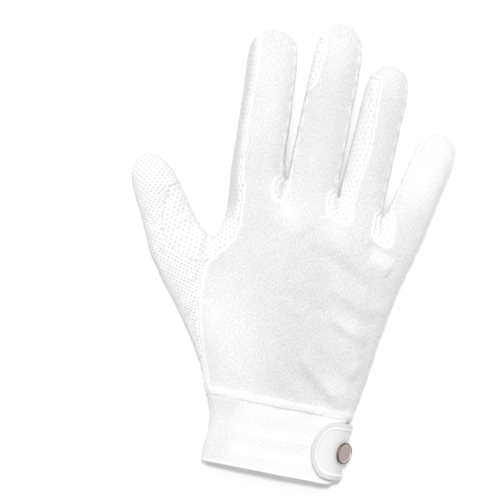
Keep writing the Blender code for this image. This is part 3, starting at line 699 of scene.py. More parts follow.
def lay_flat(mesh):
    """Unwraps the form, turns each cut to its true size and grain, and gives the cuts' sizes."""
    face_cut = np.array([face.material_index for face in mesh.polygons])
    owners = {}
    for face in mesh.polygons:
        for key in face.edge_keys:
            owners.setdefault(key, set()).add(face_cut[face.index])
    for edge in mesh.edges:
        edge.use_seam = edge.use_seam or len(owners[tuple(sorted(edge.vertices))]) > 1
    holder = new_object("holder", mesh)
    mesh.uv_layers.new(name=FLAT)
    bpy.context.view_layer.objects.active = holder
    holder.select_set(True)
    bpy.ops.object.mode_set(mode="EDIT")
    bpy.ops.mesh.select_all(action="SELECT")
    bpy.ops.uv.unwrap(method="ANGLE_BASED", margin=ISLAND_MARGIN)
    bpy.ops.object.mode_set(mode="OBJECT")
    layer = mesh.uv_layers[FLAT].uv
    sizes = {}
    for cut in sorted(set(face_cut)):
        grain = Vector((0, 1, 0))
        if cut in (THUMB, GUSSET):
            grain = Vector((-math.sin(THUMB_LEAN), math.cos(THUMB_LEAN), 0))
        turn, drawn_area, real_area, loops = 0, 0, 0, []
        for face in mesh.polygons:
            if face_cut[face.index] != cut:
                continue
            along = (grain - face.normal * grain.dot(face.normal)).normalized()
            across = along.cross(face.normal)
            corners = list(face.loop_indices)
            loops += corners
            real_area += face.area
            drawn_area += abs(polygon_area([layer[loop].vector for loop in corners]))
            for start, end in zip(corners, corners[1:] + corners[:1]):
                step = mesh.vertices[mesh.loops[end].vertex_index].co
                step = step - mesh.vertices[mesh.loops[start].vertex_index].co
                flat = layer[end].vector - layer[start].vector
                drawn = complex(*flat)
                turn += drawn.conjugate() * complex(step.dot(across), step.dot(along))
        fit = turn / abs(turn) * math.sqrt(real_area / drawn_area)
        values = np.array([complex(*layer[loop].vector) for loop in loops]) * fit
        values -= complex(values.real.min(), values.imag.min())
        for loop, value in zip(loops, values):
            layer[loop].vector = (value.real, value.imag)
        sizes[int(cut)] = (float(values.real.max()), float(values.imag.max()))
    bpy.data.objects.remove(holder)
    return sizes


cut_sizes = lay_flat(coarse)
print("flat cuts in mm:", {cut: [round(v / MM) for v in size] for cut, size in cut_sizes.items()})

# %% [markdown]
# The solids stand with the middle of their box on the origin, while the tables above start at the cuff
# seam. The cuff's top corner on the little finger's side is known in both, and it gives the shift.

# %% The cuff's edges, and the shift
SEAM_GAP, CLEARANCE = 0.5 * MM, 0.3 * MM
BAND_ROWS = table(
    "down radial ulnar",
    (0.00, -0.040, 1.000),
    (0.06, -0.040, 1.000),
    (0.28, 0.000, 0.995),
    (0.50, 0.010, 0.990),
    (0.75, -0.005, 0.988),
    (1.00, 0.000, 0.985),
)
CUFF_FROM, BAND_TOP = 0.184, SEAM_GAP / 2 - CLEARANCE
QUARTER = math.pi * CUFF_DEPTH / 4
widest = max(line["ulnar"] for line in BAND_ROWS)
cuff_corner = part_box("cuff_band")[1]
SHIFT = np.array((cuff_corner.x - (CUFF_FROM + widest) * CUFF_WIDTH, cuff_corner.y - BAND_TOP, 0))
print("shift in mm:", (SHIFT / MM).round(2))

# %% [markdown]
# The hand is now taken into arrays at two levels of detail: the finest for what is seen closest, a middle
# one for the palm below. Arrays let one line move every point at once. The seams are found as the edges
# along which two cuts meet.

# %% The form as arrays
FINE_LEVELS, MIDDLE_LEVELS = 3, 2


def hand_form(levels):
    """The smooth hand as arrays: its points, directions, faces, their cuts and their flat layout."""
    mesh = subdivided(coarse, levels)
    form = {}
    for key, source, field, size in (
        ("points", mesh.vertices, "co", 3),
        ("normals", mesh.vertices, "normal", 3),
        ("flat", mesh.uv_layers[FLAT].uv, "vector", 2),
    ):
        values = np.empty(len(source) * size, dtype=np.float32)
        source.foreach_get(field, values)
        form[key] = values.reshape(-1, size).astype(float)
    numbers = (("faces", mesh.loops, "vertex_index"), ("cuts", mesh.polygons, "material_index"))
    for key, source, field in numbers:
        values = np.empty(len(source), dtype=np.int32)
        source.foreach_get(field, values)
        form[key] = values
    form["faces"] = form["faces"].reshape(-1, 4)
    form["flat"] = form["flat"].reshape(-1, 4, 2)
    return form


def seam_edges(form):
    """The edges along which two cuts meet, as pairs of points, with the lower and higher cut of each."""
    starts, ends = form["faces"].ravel(), np.roll(form["faces"], -1, axis=1).ravel()
    count = len(form["points"])
    edges = np.minimum(starts, ends) * count + np.maximum(starts, ends)
    codes, place = np.unique(edges, return_inverse=True)
    lowest, highest = np.full(len(codes), len(NODES)), np.full(len(codes), -1)
    np.minimum.at(lowest, place, form["cuts"].repeat(4))
    np.maximum.at(highest, place, form["cuts"].repeat(4))
    meet = lowest != highest
    return np.stack(np.divmod(codes[meet], count), axis=1), lowest[meet], highest[meet]


def on_cut(form, cut):
    """Which of the form's points a cut uses."""
    used = np.zeros(len(form["points"]), dtype=bool)
    used[form["faces"][form["cuts"] == cut].ravel()] = True
    return used


FINE, MIDDLE = hand_form(FINE_LEVELS), hand_form(MIDDLE_LEVELS)
FINE_SEAMS, LOWER_CUTS, HIGHER_CUTS = seam_edges(FINE)
for form in (FINE, MIDDLE):
    print("faces:", len(form["faces"]), "points:", len(form["points"]))

# %% [markdown]
# Cotton jersey that was sewn, washed and folded never lies smooth. Sculpting would shape it by hand, and
# sums of seeded waves do it the same way on each run. A bell fades each effect out beside its seam or fold.

# %% Waves, bells and the nearest place
WAVE_COUNT, SHORTEST, LONGEST = 9, 0.7, 1.5


def waves(points, length, seed):
    """A soft random field, mostly between -1 and 1, as a sum of seeded waves of about one length."""
    chance = np.random.default_rng(seed)
    ways = chance.normal(size=(WAVE_COUNT, 3))
    ways /= np.linalg.norm(ways, axis=1, keepdims=True)
    ways *= 2 * np.pi / (length * chance.uniform(SHORTEST, LONGEST, (WAVE_COUNT, 1)))
    starts = chance.uniform(0, 2 * np.pi, WAVE_COUNT)
    return np.sin(points @ ways.T + starts).sum(axis=1) / math.sqrt(WAVE_COUNT)


def bell(distance, width):
    """One at no distance, and soon nothing beyond the width."""
    return np.exp(-((distance / width) ** 2))


def nearest(points, places):
    """The number of each point's nearest place, and how far that is."""
    tree = KDTree(len(places))
    for number, place in enumerate(places):
        tree.insert(place, number)
    tree.balance()
    found = [tree.find(place) for place in points]
    return np.array([hit[1] for hit in found]), np.array([hit[2] for hit in found])


print("a bell at 0, 1 and 2 widths:", bell(np.array((0, 1, 2)), 1).round(2))

# %% [markdown]
# A sewing machine can't turn sharp corners, so the seams' corners are rounded. The seams of most fingers
# are moved round the sides, where the jersey wraps over them, and the line of each seam wavers a little.
# The cloth beside a seam slides along with it and stays on the surface.

# %% Seams moved
ROUND_STEPS, LEAF_STEPS, EASE_SHARE, EASE_REACH = 40, 45, 0.5, 3.2 * MM
PINNED, BORDER_GAP = 1 * MM, 0.01 * MM
RAGGED, RAGGED_LENGTH, RAGGED_SEED = 0.25 * MM, 4 * MM, 17
UNDER_ALONG = (-0.05, 0.12, 0.45, 0.70, 0.95)
UNDER = table(
    "finger way other amounts",
    (0, -1, PALM, (1.2, 2.0, 2.2, 1.6, 0.6)),
    (0, 1, FOURCHETTE, (0.0, 0.0, 0.6, 0.6, 0.4)),
    (1, 1, FOURCHETTE + 1, (0.0, 0.6, 0.3, 0.3, 0.3)),
    (2, 1, FOURCHETTE + 2, (0.0, 0.8, 0.6, 0.3, 0.3)),
    (3, -1, FOURCHETTE + 2, (0.0, 0.8, 0.6, 0.3, 0.3)),
)


def eased(points, edges, steps):
    """The seams' points once their corners are rounded, as a sewing machine rounds them."""
    places = points.copy()
    for _ in range(steps):
        total, count = np.zeros_like(places), np.zeros(len(places))
        for here, there in (edges.T, edges.T[::-1]):
            np.add.at(total, here, places[there])
            np.add.at(count, here, 1)
        free = count == 2
        places[free] = blend(places[free], total[free] / 2, EASE_SHARE)
    return places


def turned_under(form, numbers):
    """How far the finger seams go round the sides, where the jersey wraps over them."""
    moves = np.zeros((len(numbers), 3))
    places = form["points"][numbers]
    for side in UNDER:
        along, right = beside_finger(FINGERS[side["finger"]], places)
        out = side["way"] * right / FINGER_WIDTH
        seam = (on_cut(form, side["other"]) & on_cut(form, BACK))[numbers]
        here = seam & (out > 0) & (out < SIDE_OUT) & (along > UNDER_ALONG[0])
        amount = np.interp(along, UNDER_ALONG, side["amounts"]) * MM
        moves[here, 0] = (side["way"] * amount)[here]
    return moves


def slide(form, places, moves):
    """Slides the cloth beside the seams along with them, and keeps it on the surface."""
    surface = BVHTree.FromPolygons(form["points"].tolist(), form["faces"].tolist())
    number, distance = nearest(form["points"], places)
    move = moves[number] * bell(distance, EASE_REACH)[:, None]
    move *= np.clip(form["points"][:, 1:2] / PINNED, 0, 1)
    move -= form["normals"] * (move * form["normals"]).sum(axis=1, keepdims=True)
    moving = np.linalg.norm(move, axis=1) > BORDER_GAP
    goals = (form["points"] + move)[moving]
    form["points"][moving] = [surface.find_nearest(Vector(place))[0] for place in goals]


seam_numbers = np.unique(FINE_SEAMS)
before = FINE["points"][seam_numbers]
leaf_seam = FINE_SEAMS[(LOWER_CUTS == THUMB) & (HIGHER_CUTS == GUSSET)]
moves = eased(FINE["points"], FINE_SEAMS, ROUND_STEPS)
moves = eased(moves, leaf_seam, LEAF_STEPS)[seam_numbers] - before
moves += turned_under(FINE, seam_numbers)
moves += RAGGED * waves(before, RAGGED_LENGTH, RAGGED_SEED)[:, None] * (1, 0, 0)
print("seams moved by up to mm:", round(float(np.linalg.norm(moves, axis=1).max()) / MM, 2))
for form in (FINE, MIDDLE):
    slide(form, before, moves)

# %% [markdown]
# The back of the hand shows long soft folds where the cloth is too wide for the empty glove. Each is a
# bell across a straight line, and it fades out towards the line's two ends. The table places the lines
# on the palm and gives each fold its height and width.

# %% Long folds
FOLD_HEIGHT, FOLD_WIDTH = 1.8 * MM, 4.5 * MM
FOLDS = table(
    "from_across from_up to_across to_up height width",
    (0.600, 0.465, 0.825, 0.367, 1.30, 0.72),
    (0.510, 0.253, 0.780, 0.050, 1.30, 0.80),
    (0.580, 0.582, 0.845, 0.485, 0.90, 0.75),
    (0.560, 0.342, 0.810, 0.194, 0.50, 0.80),
    (0.400, 0.222, 0.720, 0.014, -0.45, 0.90),
    (0.380, 0.508, 0.600, 0.452, -0.45, 0.85),
    (0.510, 0.475, 0.850, 0.413, -0.50, 0.70),
    (0.450, 0.750, 0.880, 0.553, -0.90, 0.95),
    (0.750, 0.180, 0.830, 0.270, 0.50, 0.60),
    (0.350, 0.480, 0.510, 0.440, 0.40, 0.80),
    (0.760, 0.742, 0.870, 0.686, 0.80, 0.80),
    (0.735, 0.806, 0.880, 0.745, -0.80, 0.50),
    (0.280, 0.875, 0.420, 0.785, 0.60, 1.10),
    (0.040, 0.080, 0.090, 0.560, 0.45, 2.60),
)


def fold_lift(points):
    """How far the long folds lift the back of the hand, each fading out towards its two ends."""
    lift = np.zeros(len(points))
    for fold in FOLDS:
        start = np.array((fold["from_across"] * PALM_WIDTH, fold["from_up"] * PALM_LENGTH))
        line = np.array((fold["to_across"] * PALM_WIDTH, fold["to_up"] * PALM_LENGTH)) - start
        offset = points[:, :2] - start
        share = np.clip(offset @ line / (line @ line), 0, 1)
        distance = np.linalg.norm(offset - line * share[:, None], axis=1)
        fade = 1 - (2 * share - 1) ** 4
        lift += fold["height"] * FOLD_HEIGHT * fade * bell(distance, fold["width"] * FOLD_WIDTH)
    return lift


steepest = max(fold["height"] for fold in FOLDS) * FOLD_HEIGHT
print("folds:", len(FOLDS), "raised up to mm:", round(steepest / MM, 1))

# %% [markdown]
# Tracing light through thin cotton would be slow and noisy, so light and shade are painted on the points
# instead: patches of painted light where the cloth looks whitest and of painted shade where it looks
# greyer, at places given in the tables below. The dotted side of the index finger and the first tongue
# get painted shade.

# %% Whiter and greyer cloth: painted light and shade
LIGHT_AND_SHADE_PATCHES = table(
    "across up reach white",
    (0.071, 0.335, 17 * MM, 0.60),
    (0.220, 0.120, 16 * MM, 0.35),
    (0.312, 0.880, 6 * MM, 0.50),
    (0.340, 0.813, 7 * MM, 0.30),
    (0.566, 0.830, 8 * MM, 0.35),
    (0.813, 0.744, 6 * MM, 0.55),
    (0.930, 1.130, 14 * MM, 0.75),
    (1.010, 1.290, 10 * MM, 0.60),
    (0.090, 1.500, 16 * MM, 0.45),
    (0.363, 1.660, 12 * MM, 0.40),
    (0.681, 1.560, 9 * MM, 0.25),
    (0.120, 1.280, 13 * MM, 0.35),
    (0.720, 0.410, 9 * MM, 0.35),
    (0.700, 0.130, 7 * MM, 0.30),
    (0.500, 0.130, 13 * MM, -0.20),
    (0.620, 0.420, 32 * MM, -0.22),
)
SIDES_PAINTED_SHADE = table(
    "finger way cut from_along to_along grey",
    (0, -1, PALM, -0.30, 1.20, 2.2),
    (0, 1, FOURCHETTE, -0.30, 0.50, 1.8),
)
GREYER_OVER, GREYER_UNDER = 0.15, 0.6


def painted_light_and_shade(points):
    """Painted light on the cloth from the patches or, below zero, painted shade."""
    white = np.zeros(len(points))
    for patch in LIGHT_AND_SHADE_PATCHES:
        middle = np.array((patch["across"] * PALM_WIDTH, patch["up"] * PALM_LENGTH))
        white += patch["white"] * bell(np.linalg.norm(points[:, :2] - middle, axis=1), patch["reach"])
    return white


def painted_shade_sides(form):
    """Painted shade on the dotted cloth where it turns down a finger's side, weaker where it faces down."""
    grey = np.zeros(len(form["points"]))
    for side in SIDES_PAINTED_SHADE:
        along, right = beside_finger(FINGERS[side["finger"]], form["points"])
        here = on_cut(form, side["cut"]) & ~on_cut(form, BACK) & (side["way"] * right > 0)
        inside = np.minimum(along - side["from_along"], side["to_along"] - along)
        grey += side["grey"] * np.clip(inside / GREYER_OVER, 0, 1) * here
    return grey * np.clip(1 + form["normals"][:, 2] / GREYER_UNDER, 0, 1)


print("patches of cloth:", len(LIGHT_AND_SHADE_PATCHES), "greyer sides:", len(SIDES_PAINTED_SHADE))

# %% [markdown]
# The relief adds what needle and wear leave: a groove along every seam with a rolled edge of jersey beside
# it, short puckers that run out from the seams, a puff and gathers above the cuff, a fine crumple all
# over, and a line of stitches beside the thumb's seam.

# %% Relief
GROOVE_DEPTH, LEAF_GROOVE, GROOVE_WIDTH = 0.45 * MM, 0.2 * MM, 1.0 * MM
ROLL_HEIGHT, ROLL_FROM, ROLL_WIDTH = 0.35 * MM, 1.3 * MM, 0.8 * MM
PUCKER_HEIGHT, PUCKER_LENGTH, PUCKER_REACH = 0.12 * MM, 8 * MM, 5 * MM
GATHER_HEIGHT, GATHER_LENGTH, GATHER_REACH, GATHER_DRAWN = 0.12 * MM, 7 * MM, 14 * MM, 0.25
PUFF_HEIGHT, PUFF_UP, PUFF_WIDTH = 0.8 * MM, 3 * MM, 2.6 * MM
SWELL_HEIGHT, SWELL_LENGTH, SWELL_BELOW = 0.4 * MM, 26 * MM, 0.35
CRUMPLE_HEIGHT, CRUMPLE_LENGTH = 0.08 * MM, 7 * MM
SWELL_SEED, CRUMPLE_SEED, PUCKER_SEED, GATHER_SEED = 3, 5, 7, 11
STITCH_DEPTH, STITCH_BESIDE, STITCH_WIDTH = 0.3 * MM, 2.1 * MM, 0.7 * MM
DOT_WIDTH, DOT_HEIGHT = 1.0 * MM, 0.22 * MM
ALLOWANCE, CUFF_ALLOWANCE = 1.4 * MM, 3.6 * MM


def add_relief(form, seams, on_back, depths):
    """Moves the form's points by its folds, seams, puckers and puffs."""
    points, normals = form["points"], form["normals"]
    number, distance = nearest(points, seams)
    upper = np.clip(normals[:, 2], 0, 1)
    back = on_cut(form, BACK)
    height = SWELL_HEIGHT * waves(points, SWELL_LENGTH, SWELL_SEED) * blend(SWELL_BELOW, 1, upper)
    height += CRUMPLE_HEIGHT * waves(points, CRUMPLE_LENGTH, CRUMPLE_SEED)
    puckers = waves(seams[number], PUCKER_LENGTH, PUCKER_SEED)
    height += PUCKER_HEIGHT * puckers * bell(distance, PUCKER_REACH)
    gathers = waves(points * (1, GATHER_DRAWN, 1), GATHER_LENGTH, GATHER_SEED)
    height += GATHER_HEIGHT * gathers * np.exp(-points[:, 1] / GATHER_REACH)
    height += PUFF_HEIGHT * upper * bell(points[:, 1] - PUFF_UP, PUFF_WIDTH)
    height -= depths[number] * bell(distance, GROOVE_WIDTH)
    height += ROLL_HEIGHT * bell(distance - ROLL_FROM, ROLL_WIDTH) * back
    stitched = on_cut(form, THUMB) & on_back[number]
    height -= STITCH_DEPTH * bell(distance - STITCH_BESIDE, STITCH_WIDTH) * stitched
    height *= np.clip(points[:, 1] / PINNED, 0, 1)
    places = points + normals * height[:, None]
    places[:, 2] += fold_lift(points) * upper
    dotted = np.zeros(len(points), dtype=bool)
    dotted[form["faces"][form["cuts"] != BACK].ravel()] = True
    places[:, 2] = np.maximum(places[:, 2], np.where(dotted, DOT_HEIGHT, 0))
    form["relief"] = places + SHIFT
    # Beside each seam, and up to 3.6 mm above the cuff, the turned-in edge lies double and the cloth is
    # whiter; above the cuff this also stands in for light on the puff, as painted light. The patches add
    # painted light and painted shade.
    distance = np.minimum(distance, points[:, 1] + ALLOWANCE - CUFF_ALLOWANCE)
    form["doubled_and_painted_light"] = bell(np.maximum(distance - ALLOWANCE, 0), ALLOWANCE / 2)
    form["doubled_and_painted_light"] += painted_light_and_shade(points) * upper - painted_shade_sides(form)


seams, seam_on_back = FINE["points"][seam_numbers], on_cut(FINE, BACK)[seam_numbers]
seam_depths = np.where(np.isin(seam_numbers, leaf_seam), LEAF_GROOVE, GROOVE_DEPTH)
for form in (FINE, MIDDLE):
    add_relief(form, seams, seam_on_back, seam_depths)
print("highest point of the hand in mm:", round(float(FINE["relief"][:, 2].max()) / MM, 1))

# %% [markdown]
# Each cut of cloth is its own piece. Its faces are taken out of the form and drawn in a hair from the
# seams, and a second layer inside gives the wall of one millimetre. Both layers follow the form's own
# directions, so the walls of two neighbours never cross at a seam.

# %% One cut of cloth
WALL, NO_LENGTH = 1 * MM, 1e-9


def cut_shape(form, cut):
    """One cut's points, directions, faces, flat layout and border, drawn in from the seams."""
    chosen = form["cuts"] == cut
    used, faces = np.unique(form["faces"][chosen], return_inverse=True)
    faces = faces.reshape(-1, 4)
    points, normals = form["relief"][used], form["normals"][used]
    at_cuff = form["points"][used][:, 1] < BORDER_GAP
    normals = normals * np.where(at_cuff, 0, 1)[:, None] ** (0, 1, 0)
    starts, ends = faces.ravel(), np.roll(faces, -1, axis=1).ravel()
    code = np.minimum(starts, ends) * len(used) + np.maximum(starts, ends)
    _, place, count = np.unique(code, return_inverse=True, return_counts=True)
    border = count[place] == 1
    middles = points[faces].mean(axis=1).repeat(4, axis=0)
    inward = np.zeros_like(points)
    for side in (starts, ends):
        np.add.at(inward, side[border], (middles - points[side])[border])
    inward -= normals * (inward * normals).sum(axis=1, keepdims=True)
    length = np.linalg.norm(inward, axis=1, keepdims=True)
    points = points + inward / np.maximum(length, NO_LENGTH) * BORDER_GAP
    flat = form["flat"][chosen]
    rim = np.stack((ends, starts, starts, ends), axis=1)[border]
    end_flat, start_flat = np.roll(flat, -1, axis=1).reshape(-1, 2), flat.reshape(-1, 2)
    rim_flat = np.stack((end_flat, start_flat, start_flat, end_flat), axis=1)[border]
    return {
        "points": points,
        "normals": normals,
        "faces": faces,
        "flat": flat,
        "doubled_and_painted_light": form["doubled_and_painted_light"][used],
        "rim": rim,
        "rim_flat": rim_flat,
    }


def cloth_mesh(name, shape, wall=0.0):
    """A mesh of one cut with its flat layout, as one layer or with a wall."""
    points, faces, flat, doubled_and_painted_light = shape["points"], shape["faces"], shape["flat"], shape["doubled_and_painted_light"]
    if wall:
        count = len(points)
        rim = shape["rim"] + (0, 0, count, count)
        points = np.concatenate((points, points - shape["normals"] * wall))
        flat = np.concatenate((flat, flat[:, ::-1], shape["rim_flat"]))
        faces = np.concatenate((faces, faces[:, ::-1] + count, rim))
        doubled_and_painted_light = np.tile(doubled_and_painted_light, 2)
    mesh = bpy.data.meshes.new(name)
    mesh.from_pydata(points.tolist(), [], faces.tolist())
    mesh.uv_layers.new(name="cloth").uv.foreach_set("vector", flat.astype(np.float32).ravel())
    mesh.attributes.new("doubled_and_painted_light", "FLOAT", "POINT").data.foreach_set("value", doubled_and_painted_light.astype(np.float32))
    return mesh


print("wall of the cloth in mm:", WALL / MM)

# %% [markdown]
# A cutter needs to know how much cloth each cut takes. The smallest box round its flat layout, tried at
# one turn after the other, gives its width and length.

# %% Flat sizes
BOX_TURNS = np.radians(np.arange(0, 90, 2))


def smallest_box(places):
    """The width and length of the smallest box that a flat cut fits, turned as it fits best."""
    best = None
    for turn in BOX_TURNS:
        turned = places @ np.array(((np.cos(turn), -np.sin(turn)), (np.sin(turn), np.cos(turn))))
        sides = sorted(float(side) for side in np.ptp(turned, axis=0))
        if best is None or sides[0] * sides[1] < best[0] * best[1]:
            best = sides
    return best


print("turns tried for the smallest box:", len(BOX_TURNS))

# %% [markdown]
# Cotton jersey is a weft knit: columns of small V-shaped loops, the wales, run along the hand 1.15 mm
# apart. Cotton yarn is never quite even, so the wales fade in and out, and the cloth is mottled with
# thicker and thinner spots. All of it follows the flat layout, as the knit of a real cut does.

# %% Uneven yarn
def uneven(tree, layout, across, along, detail=2.0):
    """Unevenness on the flat cut, about zero, with its grain as wide and as long as given."""
    scaled = node(tree, "ShaderNodeMapping", {"Vector": layout, "Scale": (1 / across, 1 / along, 1)})
    sockets = {"Vector": scaled, "Scale": 1.0, "Detail": detail, "Roughness": 0.6}
    noise = node(tree, "ShaderNodeTexNoise", sockets)
    return node(tree, "ShaderNodeMath", {0: noise, 1: 0.5}, operation="SUBTRACT")


def bumpy(tree, shader, colours, height, distance, strength):
    """Gives a shader its mixed colours and a relief that follows a pattern."""
    tree.links.new(colours.outputs[2], shader.inputs["Base Color"])
    bump = node(tree, "ShaderNodeBump", {"Height": height, "Distance": distance, "Strength": strength})
    tree.links.new(bump.outputs["Normal"], shader.inputs["Normal"])


WALE, COURSE, MOTTLE, CLOUD = 1.15 * MM, 0.95 * MM, 0.75 * MM, 7 * MM
print("wales to the centimetre:", round(10 * MM / WALE, 1))

# %% [markdown]
# The fuzz of cotton scatters light, which makes the cloth dull and its edges bright. Thin cotton is
# whitest at the seams, where the turned-in edge lies double. The attribute painted before mixes that in,
# together with its patches of painted light and painted shade, and the knit's grooves take a darker
# colour as painted shade. The dotted cloth is the same knit in a finer gauge.

# %% Cotton cloths
SLANT, SLANTED, RIDGED = 0.9, 0.35, -0.5
FADE_WIDE, FADE_LONG, FADING, FADE_LEVEL = 3 * MM, 9 * MM, 3.0, 0.8
MOTTLE_DRAWN, CLOUD_DRAWN, CLOUDING, MIDDLE_TONE = 1.7, 1.5, 0.25, 0.5
# The grey of the painted shade on the cloth, and how much of it is mixed in.
PAINTED_SHADE_GREY, PAINTED_SHADE_SHARE = "#cbcbcd", 0.25
COTTON = {"Roughness": 0.92, "Sheen Weight": 0.3, "Sheen Roughness": 0.45, "Specular IOR Level": 0.2}


def knit(tree, layout, gauge, ribs, spots):
    """The height of a knit on a flat layout: wales that fade in and out, and thick and thin spots."""
    scale = (1 / (gauge * WALE), 1 / (gauge * COURSE), 1)
    loops = node(tree, "ShaderNodeMapping", {"Vector": layout, "Scale": scale})
    parts = node(tree, "ShaderNodeSeparateXYZ", {"Vector": loops}).outputs
    across = node(tree, "ShaderNodeMath", {0: parts["X"], 1: 0.5}, operation="PINGPONG")
    slanted = node(tree, "ShaderNodeMath", {0: across, 1: SLANT, 2: parts["Y"]}, operation="MULTIPLY_ADD")
    turn = node(tree, "ShaderNodeMath", {0: slanted, 1: 2 * math.pi}, operation="MULTIPLY")
    stitch = node(tree, "ShaderNodeMath", {0: turn}, operation="SINE")
    turn = node(tree, "ShaderNodeMath", {0: across, 1: 2 * math.pi}, operation="MULTIPLY")
    ridge = node(tree, "ShaderNodeMath", {0: turn}, operation="COSINE")
    ridge = node(tree, "ShaderNodeMath", {0: ridge, 1: RIDGED}, operation="MULTIPLY")
    loop = node(tree, "ShaderNodeMath", {0: stitch, 1: SLANTED, 2: ridge}, operation="MULTIPLY_ADD")
    fade = uneven(tree, layout, FADE_WIDE, FADE_LONG)
    fade = node(tree, "ShaderNodeMath", {0: fade, 1: FADING, 2: FADE_LEVEL}, operation="MULTIPLY_ADD")
    wales = node(tree, "ShaderNodeMath", {0: loop, 1: fade}, operation="MULTIPLY")
    mottle = uneven(tree, layout, gauge * MOTTLE, MOTTLE_DRAWN * gauge * MOTTLE, 3.0)
    mottle = node(tree, "ShaderNodeMath", {0: mottle, 1: spots}, operation="MULTIPLY")
    return node(tree, "ShaderNodeMath", {0: wales, 1: ribs, 2: mottle}, operation="MULTIPLY_ADD")


def cloth_material(name, high, low, gauge, ribs, spots, doubling, height):
    """Knitted cotton whose pattern follows the flat layout of each cut, whiter where it lies double, with
    painted light and shade.
    """
    made, tree, shader = new_material(name, COTTON)
    layout = node(tree, "ShaderNodeUVMap", uv_map="cloth")
    level = knit(tree, layout, gauge, ribs, spots)
    cloud = uneven(tree, layout, CLOUD, CLOUD_DRAWN * CLOUD)
    double = node(tree, "ShaderNodeAttribute", attribute_name="doubled_and_painted_light").outputs["Fac"]
    tone = node(tree, "ShaderNodeMath", {0: level, 1: MIDDLE_TONE}, operation="ADD")
    tone = node(tree, "ShaderNodeMath", {0: cloud, 1: CLOUDING, 2: tone}, operation="MULTIPLY_ADD")
    # The attribute whitens the doubled edges and carries the painted light and painted shade.
    tone = node(tree, "ShaderNodeMath", {0: double, 1: doubling, 2: tone}, operation="MULTIPLY_ADD")
    # The knit's low places, its grooves and thin spots, take the darker colour: the grooves as painted
    # shade.
    mix = node(tree, "ShaderNodeMix", {0: tone, 6: colour(low), 7: colour(high)}, data_type="RGBA")
    # Below zero the attribute mixes in a grey: painted shade.
    free = node(tree, "ShaderNodeMath", {0: double, 1: -1}, operation="MULTIPLY")
    free = node(tree, "ShaderNodeMath", {0: free, 1: 0}, operation="MAXIMUM")
    free = node(tree, "ShaderNodeMath", {0: free, 1: PAINTED_SHADE_SHARE}, operation="MULTIPLY")
    sockets = {0: free, 6: mix.outputs[2], 7: colour(PAINTED_SHADE_GREY)}
    mix = node(tree, "ShaderNodeMix", sockets, data_type="RGBA")
    bumpy(tree, shader, mix, level, height, 1.0)
    return made


# The low colour is the grooves' painted shade and the yarn's thin spots.
COTTONS = table(
    "name high low gauge ribs spots doubling height",
    ("knitted_cotton_jersey", "#f8f8f8", "#cecece", 1.0, 0.35, 1.5, 0.55, 0.11 * MM),
    ("knitted_cotton_under_dots", "#f8f8f8", "#e9e9ea", 0.8, 0.35, 1.3, 0.25, 0.07 * MM),
)
jersey, dotted = [cloth_material(**cotton) for cotton in COTTONS]
print("materials:", jersey.name, dotted.name)

# %% [markdown]
# Now the seven cuts are made. The back of the hand and the thumb are seen closest and take the finest
# form, and the palm lies underneath. Each cut's flat size comes straight from the layout, with the edge
# that is turned in at the seams added all round.

# %% The seven cuts
CUTS = table(
    "name cut form finish slot held",
    ("back_of_hand", BACK, FINE, jersey, "cotton_jersey", "stretched"),
    ("palm", PALM, MIDDLE, dotted, "dotted_cotton", "laid"),
    ("thumb_cloth", THUMB, FINE, dotted, "dotted_cotton", "laid"),
    ("thumb_leaf", GUSSET, FINE, dotted, "dotted_cotton", "laid"),
    ("strip_index_middle", FOURCHETTE, FINE, dotted, "dotted_cotton", "folded"),
    ("strip_middle_ring", FOURCHETTE + 1, FINE, dotted, "dotted_cotton", "folded"),
    ("strip_ring_little", FOURCHETTE + 2, FINE, dotted, "dotted_cotton", "folded"),
)
shapes = {}
for cloth, replaced in zip(CUTS, NODES):
    shape = cut_shape(cloth["form"], cloth["cut"])
    shapes[cloth["cut"]] = shape
    piece = new_object(cloth["name"], cloth_mesh(cloth["name"], shape, WALL), cloth["finish"])
    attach(piece, "root")
    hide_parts(replaced)
    size = [side + 2 * ALLOWANCE for side in smallest_box(shape["flat"].reshape(-1, 2))]

# %% [markdown]
# Dots and stitches are small shapes repeated many times, which is what Geometry Nodes are for. Three
# helpers serve both trees: one opens a tree with named inputs, one closes it, and one runs it on a base
# mesh and keeps the result as a plain mesh. An input is set by its identifier, which never changes.

# %% Node trees for what repeats
def new_tree(name, sizes):
    """A geometry tree with a mesh input, named inputs for its sizes, and a mesh output."""
    tree = bpy.data.node_groups.new(name, "GeometryNodeTree")
    tree.interface.new_socket("Mesh", in_out="INPUT", socket_type="NodeSocketGeometry")
    for label, value in sizes.items():
        kind = "NodeSocketMaterial" if value is None else "NodeSocketFloat"
        socket = tree.interface.new_socket(label, in_out="INPUT", socket_type=kind)
        if value is not None:
            socket.default_value = value
    tree.interface.new_socket("Mesh", in_out="OUTPUT", socket_type="NodeSocketGeometry")
    return tree, node(tree, "NodeGroupInput").outputs


def close_tree(tree, instances, finish):
    """Ends a tree: instances become one mesh with smooth faces and one material."""
    solid = node(tree, "GeometryNodeRealizeInstances", {"Geometry": instances})
    smooth = node(tree, "GeometryNodeSetShadeSmooth", {"Geometry": solid})
    done = node(tree, "GeometryNodeSetMaterial", {"Geometry": smooth, "Material": finish})
    node(tree, "NodeGroupOutput", {"Mesh": done})


